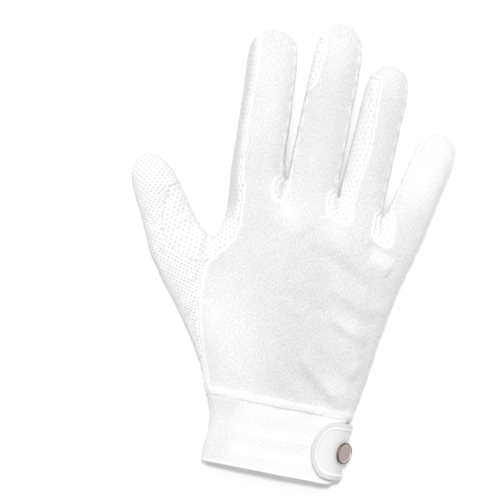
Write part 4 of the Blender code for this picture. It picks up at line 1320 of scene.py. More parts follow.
def grown(name, base, tree, slot, **sizes):
    """What a tree makes on a base mesh, as a plain mesh piece on the glove."""
    holder = new_object(name + "_base", base)
    nodes = holder.modifiers.new("nodes", "NODES")
    nodes.node_group = tree
    for item in tree.interface.items_tree:
        key = item.name.replace(" ", "_").lower()
        if item.in_out == "INPUT" and key in sizes:
            nodes[item.identifier] = sizes[key]
    mesh = bpy.data.meshes.new_from_object(holder.evaluated_get(bpy.context.evaluated_depsgraph_get()))
    bpy.data.objects.remove(holder)
    piece = bpy.data.objects.new(name, mesh)
    bpy.context.scene.collection.objects.link(piece)
    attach(piece, "root")
    print(name, "faces:", len(mesh.polygons))
    return piece


print("node trees so far:", len(bpy.data.node_groups))

# %% [markdown]
# The grip dots are drops of soft PVC, printed on the knit through a screen and cured. They stand in
# staggered rows. The tree lays a line of points out as a lattice on the flat cut, so a point's number
# gives its row and its place in the row.

# %% The lattice of grip dots
cut_inputs = {"Width": 100 * MM, "Length": 100 * MM, "Across": 3 * MM, "Up": 2 * MM}
dot_inputs = {"Dot Width": 1 * MM, "Dot Height": 0.3 * MM, "Finish": None}
dot_tree, given = new_tree("grip_dots", {**cut_inputs, **dot_inputs})
columns = node(dot_tree, "ShaderNodeMath", {0: given["Width"], 1: given["Across"]}, operation="DIVIDE")
per_row = node(dot_tree, "ShaderNodeMath", {0: columns}, operation="CEIL")
rows_up = node(dot_tree, "ShaderNodeMath", {0: given["Length"], 1: given["Up"]}, operation="DIVIDE")
rows_up = node(dot_tree, "ShaderNodeMath", {0: rows_up}, operation="CEIL")
dot_count = node(dot_tree, "ShaderNodeMath", {0: per_row, 1: rows_up}, operation="MULTIPLY")
line = node(dot_tree, "GeometryNodeMeshLine", {"Count": dot_count})
number = node(dot_tree, "GeometryNodeInputIndex")
midway = node(dot_tree, "ShaderNodeMath", {0: number, 1: 0.5}, operation="ADD")
row_number = node(dot_tree, "ShaderNodeMath", {0: midway, 1: per_row}, operation="DIVIDE")
row_number = node(dot_tree, "ShaderNodeMath", {0: row_number}, operation="FLOOR")
passed = node(dot_tree, "ShaderNodeMath", {0: row_number, 1: per_row}, operation="MULTIPLY")
place = node(dot_tree, "ShaderNodeMath", {0: number, 1: passed}, operation="SUBTRACT")
odd = node(dot_tree, "ShaderNodeMath", {0: row_number, 1: 2.0}, operation="MODULO")
place = node(dot_tree, "ShaderNodeMath", {0: odd, 1: 0.5, 2: place}, operation="MULTIPLY_ADD")
along = node(dot_tree, "ShaderNodeMath", {0: place, 1: given["Across"]}, operation="MULTIPLY")
up = node(dot_tree, "ShaderNodeMath", {0: row_number, 1: given["Up"]}, operation="MULTIPLY")
lattice = node(dot_tree, "ShaderNodeCombineXYZ", {"X": along, "Y": up})
print("inputs of the dots' tree:", [socket.name for socket in given if socket.name])

# %% [markdown]
# Each point of the lattice is looked up on the sewn form through the flat layout, and a small dome is set
# there along the cloth's direction. Points that miss the cut are left out. The dome is sunk a little, so
# that no gap shows under its rim where the cloth is curved.

# %% The dots on the sewn form
DOT_SIDES, DOT_TOP, DOT_SUNK = 8, 0.5, 0.05 * MM
layout = node(dot_tree, "GeometryNodeInputNamedAttribute", {"Name": "cloth"}, data_type="FLOAT_VECTOR")
found = []
for kind in ("GeometryNodeInputPosition", "GeometryNodeInputNormal"):
    sockets = {"Mesh": given["Mesh"], "Value": node(dot_tree, kind), "UV Map": layout, "Sample UV": lattice}
    found.append(node(dot_tree, "GeometryNodeSampleUVSurface", sockets, data_type="FLOAT_VECTOR").outputs)
placed = node(dot_tree, "GeometryNodeSetPosition", {"Geometry": line, "Position": found[0]["Value"]})
top = node(dot_tree, "ShaderNodeMath", {0: given["Dot Width"], 1: DOT_TOP / 2}, operation="MULTIPLY")
foot = node(dot_tree, "ShaderNodeMath", {0: given["Dot Width"], 1: 0.5}, operation="MULTIPLY")
sockets = {"Vertices": DOT_SIDES, "Radius Top": top, "Radius Bottom": foot, "Depth": given["Dot Height"]}
dome = node(dot_tree, "GeometryNodeMeshCone", sockets)
dome = node(dot_tree, "GeometryNodeTransform", {"Geometry": dome, "Translation": (0, 0, -DOT_SUNK)})
turn = node(dot_tree, "FunctionNodeAlignRotationToVector", {"Vector": found[1]["Value"]}, axis="Z")
sockets = {"Points": placed, "Selection": found[0]["Is Valid"], "Instance": dome, "Rotation": turn}
close_tree(dot_tree, node(dot_tree, "GeometryNodeInstanceOnPoints", sockets), given["Finish"])
print("nodes in the dots' tree:", len(dot_tree.nodes))

# %% [markdown]
# Soft PVC is smoother than cotton and a little translucent, so the drops read as pale grey marks with a
# small dull highlight. Its refraction index is about 1.53. The thumb's dots stand closer than the palm's,
# so each cut has its own spacing.

# %% The dots on each dotted cut
DOT_ACROSS, DOT_UP = 2.85 * MM, 2.4 * MM
DOTS_WIDER, DOTS_TALLER = {THUMB: 0.83, GUSSET: 1.16}, {THUMB: 0.58, GUSSET: 0.85}


def speckled_material(name, low, high, specks, constants):
    """A plain finish with fine specks of two tones, so many to the metre."""
    made, tree, shader = new_material(name, constants)
    place = node(tree, "ShaderNodeTexCoord").outputs["Object"]
    grain = node(tree, "ShaderNodeTexNoise", {"Vector": place, "Scale": specks, "Detail": 2.0})
    mix = node(tree, "ShaderNodeMix", {0: grain, 6: colour(low), 7: colour(high)}, data_type="RGBA")
    tree.links.new(mix.outputs[2], shader.inputs["Base Color"])
    return made


pvc = speckled_material("printed_pvc", "#d4d4d6", "#e4e4e6", 0.9 / MM, {"Roughness": 0.45, "IOR": 1.53})
for cloth in CUTS[1:]:
    base = cloth_mesh(cloth["name"] + "_skin", shapes[cloth["cut"]])
    width, length = cut_sizes[cloth["cut"]]
    grown(
        "dots_" + cloth["name"],
        base,
        dot_tree,
        "dotted_cotton",
        width=width,
        length=length,
        across=DOT_ACROSS * DOTS_WIDER.get(cloth["cut"], 1),
        up=DOT_UP * DOTS_TALLER.get(cloth["cut"], 1),
        dot_width=DOT_WIDTH,
        dot_height=DOT_HEIGHT,
        finish=pvc,
    )

# %% [markdown]
# The cuff lies flat like the hand. Its outline is two straight runs and two half rounds, and one length
# along that outline gives every place on it. Band and tab are bent round it from flat rectangles, so
# their flat sizes are known without unwrapping.

# %% The cuff's outline
def band_edges(down):
    """The cuff's two edges at a share of its height below its top."""
    downs = [line["down"] for line in BAND_ROWS]
    edges = [[line[side] for line in BAND_ROWS] for side in ("radial", "ulnar")]
    return [(CUFF_FROM + np.interp(down, downs, edge)) * CUFF_WIDTH for edge in edges]


def cuff_outline(down, along, offset=0.0):
    """A place so far along the cuff's outline from its ulnar edge, and below zero under the hand."""
    radial, ulnar = band_edges(down)
    radius = CUFF_DEPTH / 2
    flat = ulnar - radial - CUFF_DEPTH
    middle = (radial + ulnar) / 2
    if along < -QUARTER:
        x = ulnar - radius + along + QUARTER
        return x, -offset, -math.pi / 2
    if along <= QUARTER:
        centre = ulnar - radius
        angle = along / radius
    elif along < QUARTER + flat:
        x = ulnar - radius - (along - QUARTER)
        lift = CUFF_CROWN * (1 - ((x - middle) / (flat / 2)) ** 2)
        return x, CUFF_DEPTH + lift + offset, math.pi / 2
    elif along <= 3 * QUARTER + flat:
        centre = radial + radius
        angle = (along - flat) / radius
    else:
        x = radial + radius + along - 3 * QUARTER - flat
        return x, -offset, -math.pi / 2
    reach = radius + offset
    return centre + reach * math.cos(angle), radius + reach * math.sin(angle), angle


def direction(angle):
    return np.array((math.cos(angle), 0, math.sin(angle)))


radial, ulnar = band_edges(0)
print("cuff's width at its top in mm:", round((ulnar - radial) / MM, 1))

# %% [markdown]
# The cuff is a woven elastic band with a herringbone: stripes of slanted ribs run round the wrist, and
# each stripe slants against the next. The ribs lie close on the thumb's side, where the elastic is slack,
# and further apart on the back, where it is stretched. Counting ribs along the band and turning the
# count round from stripe to stripe gives that pattern.

# %% The herringbone
CUFF_HEIGHT, TAB_ROOT, MIDWAY_DOWN = 33 * MM, 9 * MM, 0.5
STRIPE, WIDE_RIB, CLOSE_RIB, CLOSE_OVER, GRID = 5.3 * MM, 2.0 * MM, 1.3 * MM, 11 * MM, 0.4 * MM
radial, ulnar = band_edges(MIDWAY_DOWN)
flat_run = ulnar - radial - CUFF_DEPTH
band_length = 3 * QUARTER + 2 * flat_run - TAB_ROOT


def stretch_along(along):
    """How far the elastic is stretched at each place along it, from 0 on the thumb's side to 1."""
    return np.array([ease((QUARTER + flat_run - place) / CLOSE_OVER) for place in along])


def herringbone(along, up):
    """How many ribs lie between the band's start and each point, where the stripes turn them round."""
    rib = blend(CLOSE_RIB, WIDE_RIB, stretch_along(along))
    turns = np.cumsum(GRID / rib)
    return turns + np.abs((up / STRIPE) % 2 - 1) * STRIPE / rib


def up_to_tab(down, along):
    """How far along a place lies once the band under the hand is drawn out to the tab's start."""
    radial, ulnar = band_edges(down)
    flat = ulnar - radial - CUFF_DEPTH
    turn = 3 * QUARTER + flat
    if along <= turn:
        return along
    return turn + (along - turn) * (flat - TAB_ROOT) / (band_length - turn)


print("cuff band, length in mm:", round(band_length / MM, 1))

# %% [markdown]
# Band and tab are fine grids with their relief in the mesh. A wall is added towards the inside, and the
# weave goes along as an attribute, so the material paints the shade of its furrows where the mesh has them.

# %% A woven mesh on a grid
def grid_mesh(name, grid, layout, weave, wall):
    """A walled mesh over a grid of points with their directions, flat layout and weave."""
    points = np.array([[place for place, _ in line] for line in grid])
    ways = np.array([[way for _, way in line] for line in grid])
    tall, wide = points.shape[:2]
    number = np.arange(tall * wide).reshape(tall, wide)
    quads = (number[:-1, :-1], number[:-1, 1:], number[1:, 1:], number[1:, :-1])
    faces = np.stack(quads, axis=-1).reshape(-1, 4)
    edge = np.concatenate((number[0], number[1:, -1], number[-1, -2::-1], number[-2:0:-1, 0]))
    ahead = np.roll(edge, -1)
    count = tall * wide
    rim = np.stack((ahead, edge, edge + count, ahead + count), axis=1)
    outer = points.reshape(-1, 3)
    inner = outer - ways.reshape(-1, 3) * wall
    mesh = bpy.data.meshes.new(name)
    every = np.concatenate((faces, faces[:, ::-1] + count, rim))
    mesh.from_pydata(np.concatenate((outer, inner)).tolist(), [], every.tolist())
    flat = np.tile(layout.reshape(-1, 2), (2, 1))[every.ravel()].astype(np.float32)
    mesh.uv_layers.new(name="cloth").uv.foreach_set("vector", flat.ravel())
    course = mesh.attributes.new("weave", "FLOAT_VECTOR", "POINT")
    course.data.foreach_set("vector", np.tile(weave.reshape(-1, 3), (2, 1)).astype(np.float32).ravel())
    return mesh


def soft_step(distance, softness):
    """Nothing well below zero, one well above, and soft in between."""
    return 1 / (1 + np.exp(-distance / softness))


def furrows(ribs):
    """Nothing on the ridge of a rib, and minus one in the furrow to the next."""
    return (np.cos(2 * np.pi * ribs) - 1) / 2


print("furrows at 0, 1/4 and 1/2 of a rib:", furrows(np.array((0, 0.25, 0.5))).round(2))

# %% [markdown]
# The band starts at the little finger's side with rounded corners, runs over the back and ends beside the
# tab's root under the hand, where it is drawn out a little so that no gap shows. It swells towards the
# seam with the hand, its lower hem is plain, and the elastic waves a little.

# %% The cuff band's form
CUFF_CORNER, BAND = 7 * MM, 1.5 * MM
RIB_HEIGHT, RISE, RISE_OVER = 0.16 * MM, 0.6 * MM, 3 * MM
HEM, HEM_HEIGHT, HEM_SOFT = 1.1 * MM, 0.15 * MM, 0.2 * MM
CLOSE_CLEAR, WIDE_CLEAR, FAINTER, LIFT_BELOW = 1.4, 0.75, 0.5, 0.3
BAND_WAVE, BAND_WAVE_LENGTH, BAND_SEED = 0.35 * MM, 17 * MM, 13
stations = np.linspace(0, band_length, round(band_length / GRID) + 1)
levels = np.linspace(0, 1, round(CUFF_HEIGHT / GRID) + 1)
band_grid = []
for down in levels:
    line = []
    for along in stations:
        short = max(CUFF_CORNER - along, 0)
        notch = CUFF_CORNER - math.sqrt(CUFF_CORNER**2 - short**2)
        x, z, angle = cuff_outline(down, up_to_tab(down, along))
        y = BAND_TOP - down * (CUFF_HEIGHT - notch)
        line.append((np.array((x, y, z)), direction(angle)))
    band_grid.append(line)
spots = np.array([[place for place, _ in line] for line in band_grid])
wave = BAND_WAVE * waves(spots.reshape(-1, 3), BAND_WAVE_LENGTH, BAND_SEED).reshape(spots.shape[:2])
ribs = herringbone(stations, spots[:, :, 1])
from_top, from_hem = BAND_TOP - spots[:, :, 1], spots[:, :, 1] - BAND_TOP + CUFF_HEIGHT
woven = soft_step(from_hem - HEM, HEM_SOFT)
lifts = RIB_HEIGHT * woven * furrows(ribs)
lifts += wave + HEM_HEIGHT * (1 - woven) + RISE * bell(from_top, RISE_OVER)
for number, line in enumerate(band_grid):
    for place, (spot, way) in enumerate(line):
        lifted = lifts[number, place] * blend(LIFT_BELOW, 1, max(way[2], 0))
        moved = spot + way * lifted + SHIFT
        moved[2] = max(moved[2], 0)
        line[place] = (moved, way)
band_layout = np.stack(np.meshgrid(stations, -levels * CUFF_HEIGHT), axis=-1)
# How clear the furrows' painted shade is: clearest where the elastic is slack, fainter on every other
# stripe, and none on the hem.
rising = (spots[:, :, 1] / STRIPE) % 2 >= 1
wide_clear = WIDE_CLEAR * np.where(rising, FAINTER, 1)
clearness = woven * blend(CLOSE_CLEAR, wide_clear, stretch_along(stations))
band_weave = np.stack((ribs, clearness, 0 * ribs), axis=-1)
print("places in the band's grid:", spots.shape[:2])

# %% [markdown]
# Woven elastic is cotton over rubber threads. The weave is tighter than the knit and a little shinier. The
# furrow between two ribs is narrow; its shade is painted in as a grey line, painted shade which breaks up
# where the cross threads pass over it.

# %% The woven elastic
THREAD, FURROW_POWER = 0.5 * MM, 2.5
CROSSING, CROSS_LEVEL, GROUND, UNEVEN_GROUND = 3.0, 0.8, 0.95, 0.5


def elastic_material(name, high, low, shine, contrast):
    """Woven elastic. Its weave attribute counts the ribs, says how clear their painted furrow shade is, and
    adds painted shade.
    """
    constants = {"Roughness": shine, "Sheen Weight": 0.2, "Specular IOR Level": 0.3}
    made, tree, shader = new_material(name, constants)
    layout = node(tree, "ShaderNodeUVMap", uv_map="cloth")
    weave = node(tree, "ShaderNodeAttribute", attribute_name="weave").outputs["Vector"]
    weave = node(tree, "ShaderNodeSeparateXYZ", {"Vector": weave}).outputs
    turn = node(tree, "ShaderNodeMath", {0: weave["X"], 1: 2 * math.pi}, operation="MULTIPLY")
    furrow = node(tree, "ShaderNodeMath", {0: turn}, operation="COSINE")
    furrow = node(tree, "ShaderNodeMath", {0: furrow, 1: -0.5, 2: 0.5}, operation="MULTIPLY_ADD")
    furrow = node(tree, "ShaderNodeMath", {0: furrow, 1: FURROW_POWER}, operation="POWER")
    crossed = uneven(tree, layout, THREAD, THREAD)
    crossing = {0: crossed, 1: CROSSING, 2: CROSS_LEVEL}
    crossed = node(tree, "ShaderNodeMath", crossing, operation="MULTIPLY_ADD")
    # The furrow's grey is painted shade.
    clear = node(tree, "ShaderNodeMath", {0: furrow, 1: crossed}, operation="MULTIPLY")
    clear = node(tree, "ShaderNodeMath", {0: clear, 1: weave["Y"]}, operation="MULTIPLY")
    spots = uneven(tree, layout, 2 * THREAD, THREAD, 3.0)
    ground = node(tree, "ShaderNodeMath", {0: weave["Z"], 1: GROUND}, operation="ADD")
    ground = node(tree, "ShaderNodeMath", {0: spots, 1: UNEVEN_GROUND, 2: ground}, operation="MULTIPLY_ADD")
    level = node(tree, "ShaderNodeMath", {0: clear, 1: -contrast, 2: ground}, operation="MULTIPLY_ADD")
    mix = node(tree, "ShaderNodeMix", {0: level, 6: colour(low), 7: colour(high)}, data_type="RGBA")
    bumpy(tree, shader, mix, level, distance=0.12 * MM, strength=0.8)
    return made


elastic = elastic_material("herringbone_elastic", "#fafafa", "#c8c8ca", shine=0.75, contrast=0.75)
band_mesh = grid_mesh("elastic_band", band_grid, band_layout, band_weave, BAND)
band = new_object("elastic_band", band_mesh, elastic)
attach(band, "root")
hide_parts("cuff_band")
print("faces of the band:", len(band_mesh.polygons))

# %% [markdown]
# The tab comes from under the hand round its outer edge and ends in a half round on the back. It is two
# layers of the same elastic, turned and stitched. It stands off the cuff most over the stud that it is
# fastened to, and lies on the band towards its end.

# %% The tab's place
TAB, TAB_WIDTH, TAB_TOP, TAB_REACH, TAB_ROUND = 1.8 * MM, 29 * MM, 1.6 * MM, 18 * MM, 10.5 * MM
BUTTON_ALONG, STUD_HEIGHT = 4.6 * MM, 1.2 * MM
tab_over_stud = 2 * CLEARANCE + STUD_HEIGHT + TAB
tab_start = -QUARTER - TAB_ROOT + CLEARANCE
tab_end = QUARTER + TAB_REACH - tab_over_stud - CUFF_DEPTH / 2
tab_middle = BAND_TOP - TAB_TOP - TAB_WIDTH / 2
round_from = tab_end - TAB_ROUND


def tab_lift(along):
    """How far the tab's outer face stands off the cuff's outline: most over the stud, not at all below."""
    if along <= BUTTON_ALONG:
        return tab_over_stud * ease((along + QUARTER) / QUARTER)
    share = ease((along - BUTTON_ALONG) / (tab_end - BUTTON_ALONG))
    return blend(tab_over_stud, CLEARANCE + TAB, share)


def tab_place(along, y):
    """A place on the tab's outer face and the angle in which that face looks."""
    x, z, angle = cuff_outline((BAND_TOP - y) / CUFF_HEIGHT, along, tab_lift(along))
    return np.array((x, y, max(z, 0))), angle


# %% [markdown]
# The tab has a flat border 3 mm wide, then a raised welt, then a dished middle with slanted ribs. All of
# that is a height that depends on the distance from its edge, so one nearest-point search shapes it.

# %% The tab's relief
BORDER, WELT, WELT_HEIGHT, WELT_HIGHLIGHT = 2.9 * MM, 0.42 * MM, 0.5 * MM, 1.3
DISH, DISH_SOFT = 0.3 * MM, 0.25 * MM
TAB_GRID, LAST_ANGLE = 0.22 * MM, math.radians(87)
TWILL, TWILL_HEIGHT, EDGE_DROP, EDGE_WIDTH = 1.5 * MM, 0.06 * MM, 1.1 * MM, 0.45 * MM
BORDER_CLEAR, DISH_CLEAR, BORDER_SHADE, DISH_SHADE = 0.35, 0.4, -0.5, -0.3
tab_lines = [(along, 1) for along in np.arange(tab_start, round_from, TAB_GRID)]
for angle in np.arange(0, LAST_ANGLE, TAB_GRID / TAB_ROUND):
    tab_lines.append((round_from + TAB_ROUND * math.sin(angle), math.cos(angle)))
shares = np.linspace(-0.5, 0.5, round(TAB_WIDTH / TAB_GRID) + 1)
outline = []
for along, share in tab_lines:
    outline += [(along, side * share * TAB_WIDTH, 0) for side in (-0.5, 0.5)]
tab_flat = np.array([[(along, out * share * TAB_WIDTH) for out in shares] for along, share in tab_lines])
flat_spots = np.pad(tab_flat.reshape(-1, 2), ((0, 0), (0, 1)))
_, from_edge = nearest(flat_spots, np.array(outline))
from_edge = from_edge.reshape(tab_flat.shape[:2])
inside = soft_step(from_edge - BORDER, DISH_SOFT)
twill = (tab_flat[:, :, 0] - tab_flat[:, :, 1]) / TWILL
tab_height = WELT_HEIGHT * bell(from_edge - BORDER, WELT) - DISH * inside
tab_height += TWILL_HEIGHT * furrows(twill)
tab_height -= EDGE_DROP * np.exp(-from_edge / EDGE_WIDTH)
# The border and the dished middle take painted shade, and the welt between them is left white as a painted
# highlight.
welt = bell(from_edge - BORDER, WELT_HIGHLIGHT * WELT)
tab_clear = blend(BORDER_CLEAR, DISH_CLEAR, inside) * (1 - welt)
tab_painted_shade = blend(BORDER_SHADE, DISH_SHADE, inside) * (1 - welt)
tab_weave = np.stack((twill, tab_clear, tab_painted_shade), axis=-1)
lowest, highest = float(tab_height.min()), float(tab_height.max())
print("the tab's relief in mm, from and to:", round(lowest / MM, 2), round(highest / MM, 2))

# %% [markdown]
# The flat tab is now bent round the cuff's outline, with each place moved outwards by its height. Folded
# elastic is a little duller than the stretched band, because its weave lies closer, and a little greyer:
# its border and dished middle carry painted shade, and its welt is left white as a painted highlight.

# %% The tab
tab_grid = []
for number, (along, share) in enumerate(tab_lines):
    line = []
    for place, out in enumerate(shares):
        spot, angle = tab_place(along, tab_middle + out * share * TAB_WIDTH)
        moved = spot + direction(angle) * tab_height[number, place] + SHIFT
        moved[2] = max(moved[2], 0)
        line.append((moved, direction(angle)))
    tab_grid.append(line)
tab_mesh = grid_mesh("tab_of_elastic", tab_grid, tab_flat, tab_weave, TAB - DISH)
folded = elastic_material("folded_elastic", "#fafafa", "#c6c6c8", shine=0.8, contrast=0.5)
tab = new_object("tab_of_elastic", tab_mesh, folded)
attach(tab, "root")
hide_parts("closure_tab")
print("faces of the tab:", len(tab_mesh.polygons))

# %% [markdown]
# The press button is stamped from sheet steel and lacquered in a dull brown-grey. Lacquer on steel is
# smooth but not bright, and handling wears it a little unevenly. Its finishes make it dark on the rolled
# rim, paler on the dished face and nearly white on the narrow ring between them.

# %% Lacquered steel
WEAR, WEAR_ROUGH = 1.4 / MM, 0.2


def steel(name, high, low, roughness, metallic):
    """Stamped steel under lacquer, a little uneven where it is handled."""
    made, tree, shader = new_material(name, {"Metallic": metallic, "Coat Weight": 0.3})
    place = node(tree, "ShaderNodeTexCoord").outputs["Object"]
    wear = node(tree, "ShaderNodeTexNoise", {"Vector": place, "Scale": WEAR, "Detail": 4.0})
    mix = node(tree, "ShaderNodeMix", {0: wear, 6: colour(low), 7: colour(high)}, data_type="RGBA")
    rough = node(tree, "ShaderNodeMath", {0: wear, 1: WEAR_ROUGH, 2: roughness}, operation="MULTIPLY_ADD")
    tree.links.new(rough.outputs["Value"], shader.inputs["Roughness"])
    bumpy(tree, shader, mix, wear, distance=0.03 * MM, strength=0.5)
    return made


STEELS = table(
    "name high low roughness metallic",
    ("lacquered_steel_rim", "#857a76", "#5f5552", 0.35, 0.6),
    ("lacquered_steel_face", "#c4b5b1", "#ab9c98", 0.45, 0.3),
    ("polished_steel_ring", "#e9e0dd", "#cfc4c0", 0.3, 0.5),
)
rim_steel, face_steel, ring_steel = [steel(**finish) for finish in STEELS]
print("finishes of the cap:", rim_steel.name, face_steel.name, ring_steel.name)

# %% [markdown]
# The cap is round, so a profile turned about its axis gives its dished face, its ring and its rolled rim.
# Each line of the profile says which finish the metal has from there on.

# %% The cap's form
BUTTON_WIDTH, BUTTON_HEIGHT, TURN_STEPS = 11 * MM, 2 * MM, 48
RIM, FACE, RING = 0, 1, 2
BUTTON_PROFILE = table(
    "out up finish",
    (0.00, 0.72, FACE),
    (0.30, 0.71, FACE),
    (0.60, 0.69, FACE),
    (0.74, 0.70, RING),
    (0.80, 0.78, RING),
    (0.83, 0.90, RIM),
    (0.86, 0.97, RIM),
    (0.90, 0.96, RIM),
    (0.95, 0.84, RIM),
    (0.99, 0.66, RIM),
    (1.00, 0.48, RIM),
    (0.96, 0.32, RIM),
    (0.80, 0.22, RIM),
    (0.60, 0.00, RIM),
    (0.00, 0.00, RIM),
)
turned = bmesh.new()
rings = []
for point in BUTTON_PROFILE:
    out, up = point["out"] * BUTTON_WIDTH / 2, point["up"] * BUTTON_HEIGHT
    steps = TURN_STEPS if out else 1
    turns = [2 * math.pi * step / TURN_STEPS for step in range(steps)]
    rings.append([turned.verts.new((out * math.cos(turn), out * math.sin(turn), up)) for turn in turns])
for upper, lower, point in zip(rings, rings[1:], BUTTON_PROFILE):
    for step in range(TURN_STEPS):
        after = (step + 1) % TURN_STEPS
        corners = [upper[step % len(upper)], lower[step % len(lower)]]
        corners += [lower[after % len(lower)], upper[after % len(upper)]]
        face = turned.faces.new(list(dict.fromkeys(corners)))
        face.material_index = point["finish"]
bmesh.ops.recalc_face_normals(turned, faces=turned.faces)
print("faces of the cap:", len(turned.faces))

# %% [markdown]
# The cap sits on the tab where its stud is below, tilted outwards with the cuff's rounded edge. The stud
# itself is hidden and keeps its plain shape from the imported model, with the rim's finish.

# %% The cap in its place
spot, angle = tab_place(BUTTON_ALONG, tab_middle)
outward = Vector(direction(angle))
seat = Vector(spot + SHIFT) + outward * CLEARANCE
tilt = Vector((0, 0, 1)).rotation_difference(outward).to_matrix()
for vertex in turned.verts:
    vertex.co = tilt @ vertex.co + seat
cap_mesh = bpy.data.meshes.new("steel_cap")
turned.to_mesh(cap_mesh)
turned.free()
for lacquer in (rim_steel, face_steel, ring_steel):
    cap_mesh.materials.append(lacquer)
cap = new_object("steel_cap", cap_mesh)
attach(cap, "root")
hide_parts("press_button")
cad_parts["press_stud"].data.materials.clear()
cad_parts["press_stud"].data.materials.append(rim_steel)
print("cap seat in mm:", (np.array(seat) / MM).round(1))
print("its tilt in degrees:", round(90 - math.degrees(angle)))

# %% [markdown]
# Thread holds all this together. The cuff is overlocked to the hand, which leaves a row of small slanted
# bars, and rows of stitches run beside the seams of the thumb and its leaf. Geometry Nodes walk along a
# path with even steps and set one thread at each, turned by the cloth's direction.

# %% The tree for stitches
stitch_inputs = {"Pitch": 1 * MM, "Length": 1 * MM, "Thread": 0.3 * MM, "Slant": 0.0, "Finish": None}
stitch_tree, given = new_tree("stitches", stitch_inputs)
path = node(stitch_tree, "GeometryNodeMeshToCurve", {"Mesh": given["Mesh"]})
sockets = {"Curve": path, "Length": given["Pitch"]}
steps = node(stitch_tree, "GeometryNodeResampleCurve", sockets, mode="LENGTH")
thread = node(stitch_tree, "GeometryNodeMeshUVSphere", {"Segments": 6, "Rings": 4, "Radius": 0.5})
sockets = {"X": given["Length"], "Y": given["Thread"], "Z": given["Thread"]}
size = node(stitch_tree, "ShaderNodeCombineXYZ", sockets)
bar = node(stitch_tree, "GeometryNodeTransform", {"Geometry": thread, "Scale": size})
out_way = node(stitch_tree, "GeometryNodeInputNamedAttribute", {"Name": "out"}, data_type="FLOAT_VECTOR")
ahead = node(stitch_tree, "GeometryNodeInputTangent")
sockets = {"Primary Axis": out_way, "Secondary Axis": ahead}
turns = {"primary_axis": "Z", "secondary_axis": "X"}
facing = node(stitch_tree, "FunctionNodeAxesToRotation", sockets, **turns)
slant = node(stitch_tree, "ShaderNodeCombineXYZ", {"Z": given["Slant"]})
sockets = {"Rotation": facing, "Rotate By": slant}
slanted = node(stitch_tree, "FunctionNodeRotateRotation", sockets, rotation_space="LOCAL")
sockets = {"Points": steps, "Instance": bar, "Rotation": slanted}
close_tree(stitch_tree, node(stitch_tree, "GeometryNodeInstanceOnPoints", sockets), given["Finish"])
print("nodes in the stitches' tree:", len(stitch_tree.nodes))

# %% [markdown]
# Cotton thread is twisted, so it shows fine light and dark specks, and it is a little smoother than the
# cloth. A row of stitches follows a chain of edges that carries the direction out of the cloth.

# %% Thread and rows of stitches
OVERLOCK, TOPSTITCH = table(
    "pitch length thread slant",
    (1.25 * MM, 1.9 * MM, 0.35 * MM, math.radians(70)),
    (2.2 * MM, 1.5 * MM, 0.32 * MM, 0.0),
)
THREAD_LIFT = 0.05 * MM
thread_cotton = speckled_material("cotton_thread", "#e6e6e7", "#fafafa", 2.5 / MM, {"Roughness": 0.8})


def path_mesh(name, places, ways, closed=False):
    """A chain of edges through places, with the direction out of the cloth at each."""
    count = len(places)
    edges = [(number, (number + 1) % count) for number in range(count if closed else count - 1)]
    mesh = bpy.data.meshes.new(name)
    mesh.from_pydata([tuple(place) for place in places], edges, [])
    out = mesh.attributes.new("out", "FLOAT_VECTOR", "POINT")
    out.data.foreach_set("vector", np.array(ways, dtype=np.float32).ravel())
    return mesh


def sewn(name, places, ways, stitch, slot, closed=False):
    """Stitches set along a path, as one piece."""
    base = path_mesh(name + "_path", places + ways * THREAD_LIFT, ways, closed)
    grown(name, base, stitch_tree, slot, finish=thread_cotton, **stitch)


for name, stitch in (("overlock", OVERLOCK), ("topstitch", TOPSTITCH)):
    print(name, "stitches to the centimetre:", round(10 * MM / stitch["pitch"], 1))

# %% [markdown]
# A seam is a set of loose edges, so its points are first put in order from one end to the other. The row
# of stitches then lies beside it on one of its two cuts: the side on which the cloth is nearer.

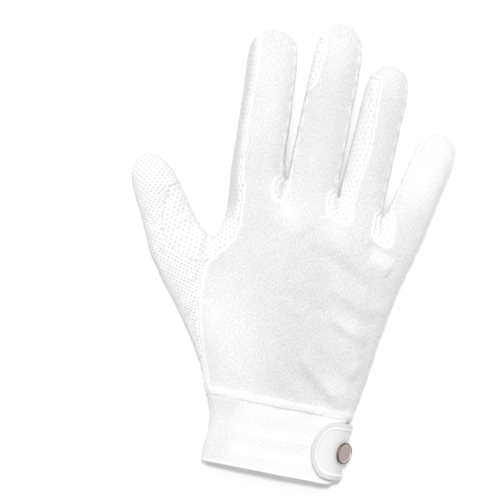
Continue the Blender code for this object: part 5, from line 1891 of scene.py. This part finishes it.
# %% Places beside a seam
def seam_chain(first, second):
    """The form's points along the seam of two cuts, in order."""
    edges = FINE_SEAMS[(LOWER_CUTS == min(first, second)) & (HIGHER_CUTS == max(first, second))]
    beside = {}
    for here, there in edges.tolist():
        beside.setdefault(here, []).append(there)
        beside.setdefault(there, []).append(here)
    ends = [point for point, others in beside.items() if len(others) == 1]
    chain = [min(ends, key=lambda point: FINE["points"][point, 1])]
    while True:
        ahead = [point for point in beside[chain[-1]] if point not in chain[-2:]]
        if not ahead:
            return np.array(chain)
        chain.append(ahead[0])


def beside_seam(chain, cut, offset):
    """Places on one cut's cloth beside a seam, and the direction out of the cloth at each."""
    cloth = BVHTree.FromPolygons(shapes[cut]["points"].tolist(), shapes[cut]["faces"].tolist())
    side = np.cross(FINE["normals"][chain], np.gradient(FINE["relief"][chain], axis=0))
    side *= offset / np.linalg.norm(side, axis=1, keepdims=True)
    found = []
    for sign in (-1, 1):
        places = FINE["relief"][chain] + sign * side
        found.append([cloth.find_nearest(Vector(place)) for place in places])
    hits = min(found, key=lambda line: sum(hit[3] for hit in line))
    return np.array([hit[0] for hit in hits]), np.array([hit[1] for hit in hits])


leaf_chain = seam_chain(THUMB, GUSSET)
print("points along the leaf's seam:", len(leaf_chain))

# %% [markdown]
# The overlock runs round the whole edge at the cuff. Its points are put in order by their angle about the
# middle, where the ring's width is scaled down to its height so that the steps stay even.

# %% Stitches
LEAF_BESIDE, RING_FLATNESS = 0.5 * MM, 5
cuff_edge = FINE["points"][:, 1] < BORDER_GAP
ring_spots, ring_ways = FINE["relief"][cuff_edge], FINE["normals"][cuff_edge] * (1, 0, 1)
middle = ring_spots.mean(axis=0)
across = (ring_spots[:, 0] - middle[0]) / RING_FLATNESS
order = np.argsort(np.arctan2(ring_spots[:, 2] - middle[2], across))
sewn("overlock_stitches", ring_spots[order], ring_ways[order], OVERLOCK, "cotton_jersey", closed=True)
thumb_row = beside_seam(seam_chain(BACK, THUMB), THUMB, STITCH_BESIDE)
leaf_row = beside_seam(leaf_chain, THUMB, LEAF_BESIDE)
sewn("thumb_stitches", *thumb_row, TOPSTITCH, "dotted_cotton")
sewn("leaf_stitches", *leaf_row, TOPSTITCH, "dotted_cotton")
print("points round the cuff's edge:", len(ring_spots))
